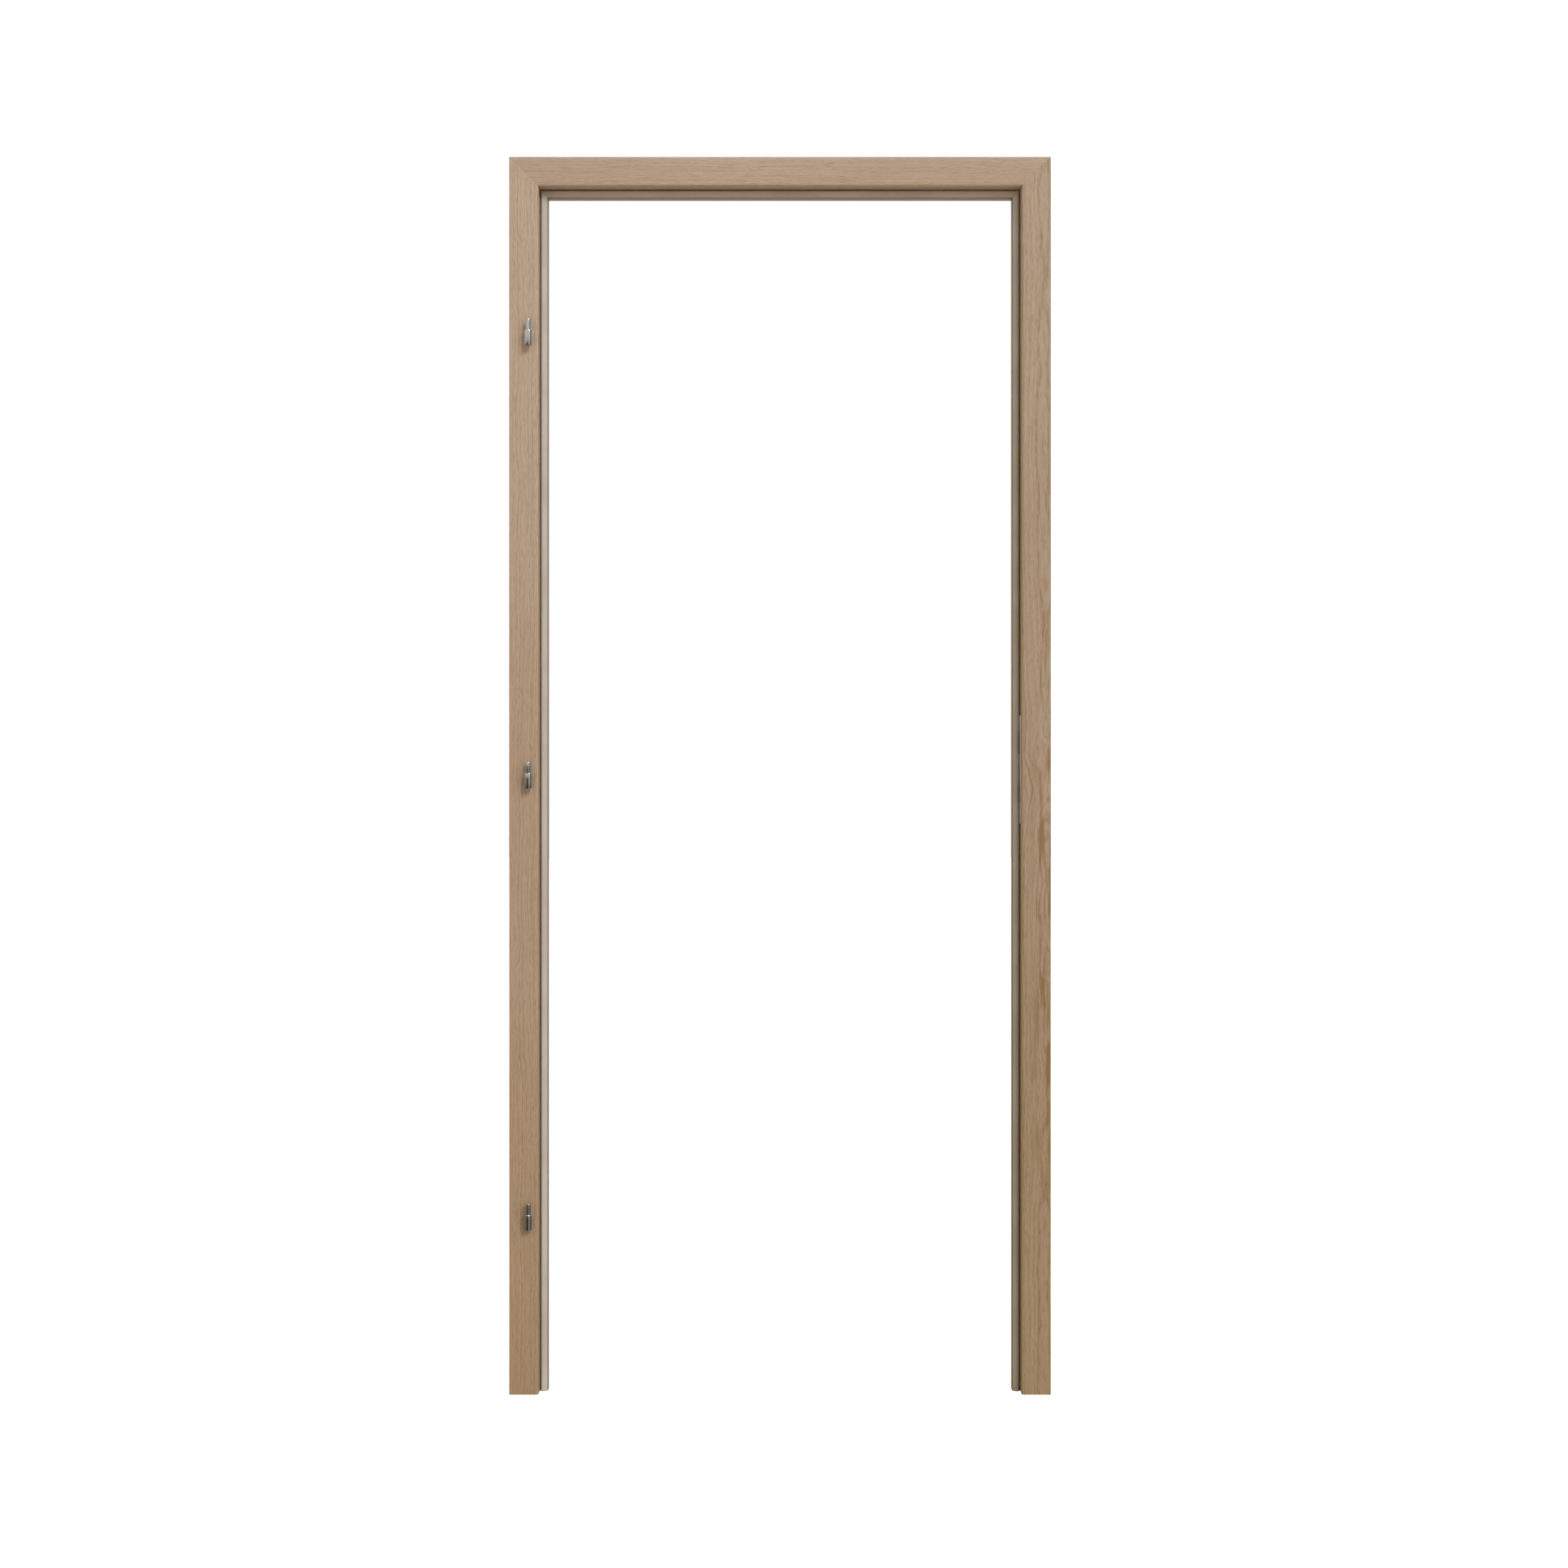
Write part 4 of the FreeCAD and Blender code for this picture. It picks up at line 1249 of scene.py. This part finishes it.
@dataclass
class Studio:
    """Camera, floor, key light and sky."""

    camera_place: Corner = (0.00684, -4.1535, 1.046)
    lens: float = 55.15
    sensor: float = 36.0
    floor_size: float = 60.0
    floor_colour: Colour = (0.78, 0.73, 0.66, 1.0)
    floor_glow: float = 0.94
    floor_rough: float = 0.95
    floor_shine: float = 0.1
    key_from: Corner = (7.0, -12.8, 9.0)
    key_spread: float = 24.0
    key_strength: float = 1.84
    key_colour: Corner = (0.965, 1.01, 1.07)
    side_aim: Corner = (0.93, -0.34, 0.12)
    left_light: Colour = (2.3, 2.08, 1.78, 1.0)
    room_light: Colour = (0.33, 0.297, 0.25, 1.0)
    rear_light: Colour = (0.62, 0.57, 0.49, 1.0)
    right_light: Colour = (1.9, 1.85, 1.75, 1.0)
    side_window: Range = (0.80, 0.95)
    rear_start: Range = (0.10, 0.50)
    eye_level: Range = (0.04, 0.13)
    floor_edge: Range = (-0.12, -0.02)
    floor_grey: float = 0.60
    card_sides: Range = (0.5, 0.65)
    card_back: Range = (0.10, 0.30)
    paper_white: Colour = (1.05, 1.05, 1.05, 1.0)
    low_tint: Colour = (1.0, 0.93, 0.84, 1.0)
    cards: tuple[Corner, ...] = (
        (0.0, 0.58, 0.30), (0.11, 0.62, 0.28), (0.20, 0.80, 0.12), (0.26, 1.0, 0.04), (0.34, 1.0, 0.04),
        (0.42, 0.45, 0.05), (0.50, 0.24, 0.10), (0.58, 0.50, 0.34), (0.66, 0.82, 0.50), (0.86, 0.80, 0.42),
        (0.94, 0.32, 0.26), (1.0, 0.18, 0.18))

    def camera(self) -> None:
        """Stand the camera where the photograph was taken."""
        data = bpy.data.cameras.new("camera")
        data.lens = self.lens
        data.sensor_width = self.sensor
        data.dof.use_dof = False
        camera = put(data, "camera")
        camera.location = self.camera_place
        camera.rotation_euler = (math.radians(90), 0, 0)
        bpy.context.scene.camera = camera

    def floor(self) -> None:
        """Lay the pale floor, which stays white to the camera, keeps the shadow and isn't mirrored."""
        half = self.floor_size / 2
        mesh = bpy.data.meshes.new("floor")
        corners = [(-half, -half, 0), (half, -half, 0), (half, half, 0), (-half, half, 0)]
        mesh.from_pydata(corners, [], [(0, 1, 2, 3)])
        m = Material("floor_paper")
        camera = m.add("ShaderNodeLightPath").outputs["Is Camera Ray"]
        m.surface(Base_Color=self.floor_colour, Roughness=self.floor_rough)
        m.surface(Specular_IOR_Level=self.floor_shine)
        m.surface(Emission_Color=WHITE, Emission_Strength=m.times(camera, self.floor_glow))
        mesh.materials.append(m.data)
        floor = put(mesh, "floor")
        floor.visible_glossy = False

    def key(self) -> None:
        """Set one broad, even light above and to the right of the camera."""
        data = bpy.data.lights.new("key", "SUN")
        data.angle = math.radians(self.key_spread)
        data.energy = self.key_strength
        data.color = self.key_colour
        lamp = put(data, "key")
        lamp.location = self.key_from
        lamp.rotation_euler = (-Vector(self.key_from)).to_track_quat("-Z", "Y").to_euler()

    def room(self, g: Graph, direction: Socket) -> Socket:
        """Soft light of the room by direction, with a broad window on either side."""
        axes = g.axes(direction)
        across = g.vector("MULTIPLY", g.vector("ABSOLUTE", direction), (1.0, 0.0, 0.0))
        deep = g.vector("MULTIPLY", direction, (0.0, 1.0, 1.0))
        aim = Vector(self.side_aim).normalized()
        towards = g.vector("DOT_PRODUCT", g.vector("ADD", across, deep), aim)
        side_light = g.mix(g.above(axes["X"], 0.0), self.left_light, self.right_light)
        room = g.mix(g.remap(axes["Y"], *self.rear_start), self.room_light, self.rear_light)
        return g.mix(g.remap(towards, *self.side_window), room, side_light)

    def reflections(self, g: Graph, direction: Socket) -> Socket:
        """Grey cards that the polished metal mirrors, by direction.

        Each card has its place from left to right, its grey above eye level and its grey at eye level.
        """
        axes = g.axes(direction)
        ramp = g.add("ShaderNodeValToRGB", {0: g.remap(axes["X"], -1.0, 1.0, smooth=False)})
        stops = ramp.color_ramp.elements
        for place, *_ in self.cards[1:-1]:
            stops.new(place)
        for stop, (_, above, level) in zip(stops, self.cards):
            stop.color = (above, level, 0.0, 1.0)
        card = g.add("ShaderNodeSeparateColor", {0: ramp.outputs["Color"]}).outputs
        high = g.remap(axes["Z"], *self.eye_level)
        lit = g.plus(g.times(card["Red"], high), g.times(card["Green"], g.minus(1.0, high)))
        lit = g.times(lit, g.remap(axes["Z"], *self.floor_edge, self.floor_grey, 1.0))
        cards = g.tinted(g.grey(lit), g.mix(high, self.low_tint, WHITE))
        ahead = g.remap(g.magnitude(axes["X"]), *self.card_sides, 1.0, 0.0)
        return g.mix(g.times(g.remap(axes["Y"], *self.card_back), ahead), cards, WHITE)

    def world(self) -> None:
        """Surround the object with white for the camera and with a soft studio for its light."""
        world = bpy.data.worlds.new("studio")
        world.use_nodes = True
        g = Graph(world.node_tree)
        direction = g.add("ShaderNodeTexCoord").outputs["Generated"]
        path = g.add("ShaderNodeLightPath").outputs
        clear = g.largest(path["Is Camera Ray"], path["Is Transmission Ray"])
        seen = g.mix(path["Is Glossy Ray"], self.room(g, direction), self.reflections(g, direction))
        seen = g.mix(clear, seen, self.paper_white)
        sky = g.add("ShaderNodeBackground", {"Color": seen, "Strength": 1.0})
        g.add("ShaderNodeOutputWorld", {"Surface": sky.outputs[0]})
        bpy.context.scene.world = world

    def make(self) -> None:
        """Set up the whole studio."""
        self.camera()
        self.floor()
        self.key()
        self.world()
        bpy.context.scene.view_settings.view_transform = "Standard"


def oak_finishes() -> list[OakFinish]:
    """Oak for each casing, beam and tongue, named after it and with a grain of its own."""
    out, over = SIZES.width / 2 * MM, SIZES.height * MM
    left, right, up, back, front = (-1, 0, 0), (1, 0, 0), (0, 0, 1), (0, 1, 0), (0, -1, 0)
    hinge_veneer = Grain(2.3, -out - 0.10, pitch=0.0033, contrast=0.74)
    cathedral = Grain(5.1, out - 0.010, depth=0.052, pitch=0.0066, wobble=0.085, lean=0.02, contrast=0.72,
                      stain=0.88, figure_centre=0.85, figure_spread=0.55)
    head_veneer = Grain(8.2, over + 0.10, pitch=0.0033, contrast=0.60)
    # The beams' 0.62 tint beyond 60 mm inward is painted shade over the stop.
    board = {"inward_limit": 46.3, "pale": tone(184, 162, 140), "mid": tone(170, 146, 122),
             "edge_tint": (0.62, 0.59, 0.56, 1.0)}
    # The strike casing's foot tint is its veneer's warm drift together with painted shade.
    darker = {"pale": tone(173, 152, 134), "mid": tone(160, 136, 114), "dark": tone(135, 106, 66),
              "foot_tint": (0.80, 0.75, 0.59, 1.0)}
    quiet = {"pale": tone(176, 155, 138), "mid": tone(161, 139, 119)}
    rows = (
        (Side.HINGE, "front_casing", hinge_veneer, back, back, {}),
        (Side.STRIKE, "front_casing", cathedral, back, back, darker),
        (Side.HEAD, "front_casing", head_veneer, back, back, quiet),
        (Side.HINGE, "rear_casing", Grain(12.4, -out + 0.02, depth=-0.02), front, front, {}),
        (Side.STRIKE, "rear_casing", Grain(14.9, out + 0.08), front, front, {}),
        (Side.HEAD, "rear_casing", Grain(17.7, over + 0.09), front, front, {}),
        (Side.HINGE, "beam", Grain(21.0, -out - 0.06), left, front, board),
        (Side.STRIKE, "beam", Grain(23.6, out + 0.07), right, front, board),
        (Side.HEAD, "beam", Grain(26.1, over + 0.06), up, front, board),
        (Side.HINGE, "tongue", Grain(31.0, -out - 0.05), left, front, {}),
        (Side.STRIKE, "tongue", Grain(33.3, out + 0.05), right, front, {}),
        (Side.HEAD, "tongue", Grain(35.8, over + 0.05), up, front, {}),
    )
    return [OakFinish(f"{side.value}_{member}_oak", side, grain, wall, second, **tones)
            for side, member, grain, wall, second, tones in rows]


def coat_finishes() -> list[CoatFinish]:
    """Finishes of the hinges, the strike plate, the hidden fixings, the dust box and the seals."""
    metal = {"raised": "Lines", "metallic": 1.0}
    rubber = {"cloud_scale": 14.0, "sheen": 0.12}
    return [
        CoatFinish("polished_nickel", tone(206, 203, 199), tone(194, 191, 186), 0.09, 0.14, 1e-6, **metal),
        CoatFinish("satin_nickel", tone(226, 223, 219), tone(212, 209, 205), 0.42, 0.52, 4e-6, "Lines",
                   line_scale=9000.0, metallic=0.75),
        CoatFinish("zinc_steel", tone(176, 178, 176), tone(142, 145, 146), 0.38, 0.55, 4e-6,
                   cloud_scale=260.0, **metal),
        CoatFinish("box_plastic", tone(64, 60, 55), tone(76, 72, 67), 0.55, 0.55, 5e-5, cloud_scale=1500.0),
        # The three seal rubbers are one rubber in lit and shaded copies: the hinge side lighter as painted
        # light, the strike side darker as painted shade, and the head a warmer copy. Their foot tones are
        # painted light too.
        CoatFinish("hinge_side_seal_rubber", tone(178, 170, 161), tone(168, 159, 148), 0.50, 0.62, 5e-5,
                   foot_tint=(1.04, 1.04, 1.05, 1.0), **rubber),
        CoatFinish("strike_side_seal_rubber", tone(169, 160, 148), tone(159, 150, 136), 0.50, 0.62, 5e-5,
                   foot_tint=(0.88, 0.86, 0.83, 1.0), **rubber),
        CoatFinish("head_seal_rubber", tone(178, 163, 149), tone(168, 153, 136), 0.50, 0.62, 5e-5,
                   **rubber),
    ]


def main() -> None:
    """Build the looks of the whole frame."""
    LOG.setLevel(logging.INFO)
    LOG.addHandler(logging.StreamHandler(sys.stdout))
    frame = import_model()
    Studio().make()
    effects = Effects()
    shop = Workshop(frame)
    for finish in (*oak_finishes(), *coat_finishes()):
        shop.finish(finish, effects)
    screws = ScrewTree()
    Casings(shop).make()
    Casings(shop, rear=True).make()
    dress_beams(shop)
    Seals(shop).make()
    Hinges(shop).make()
    Strike(shop, screws).make()
    CornerHardware(shop, screws).make()


if __name__ == "__main__":
    main()
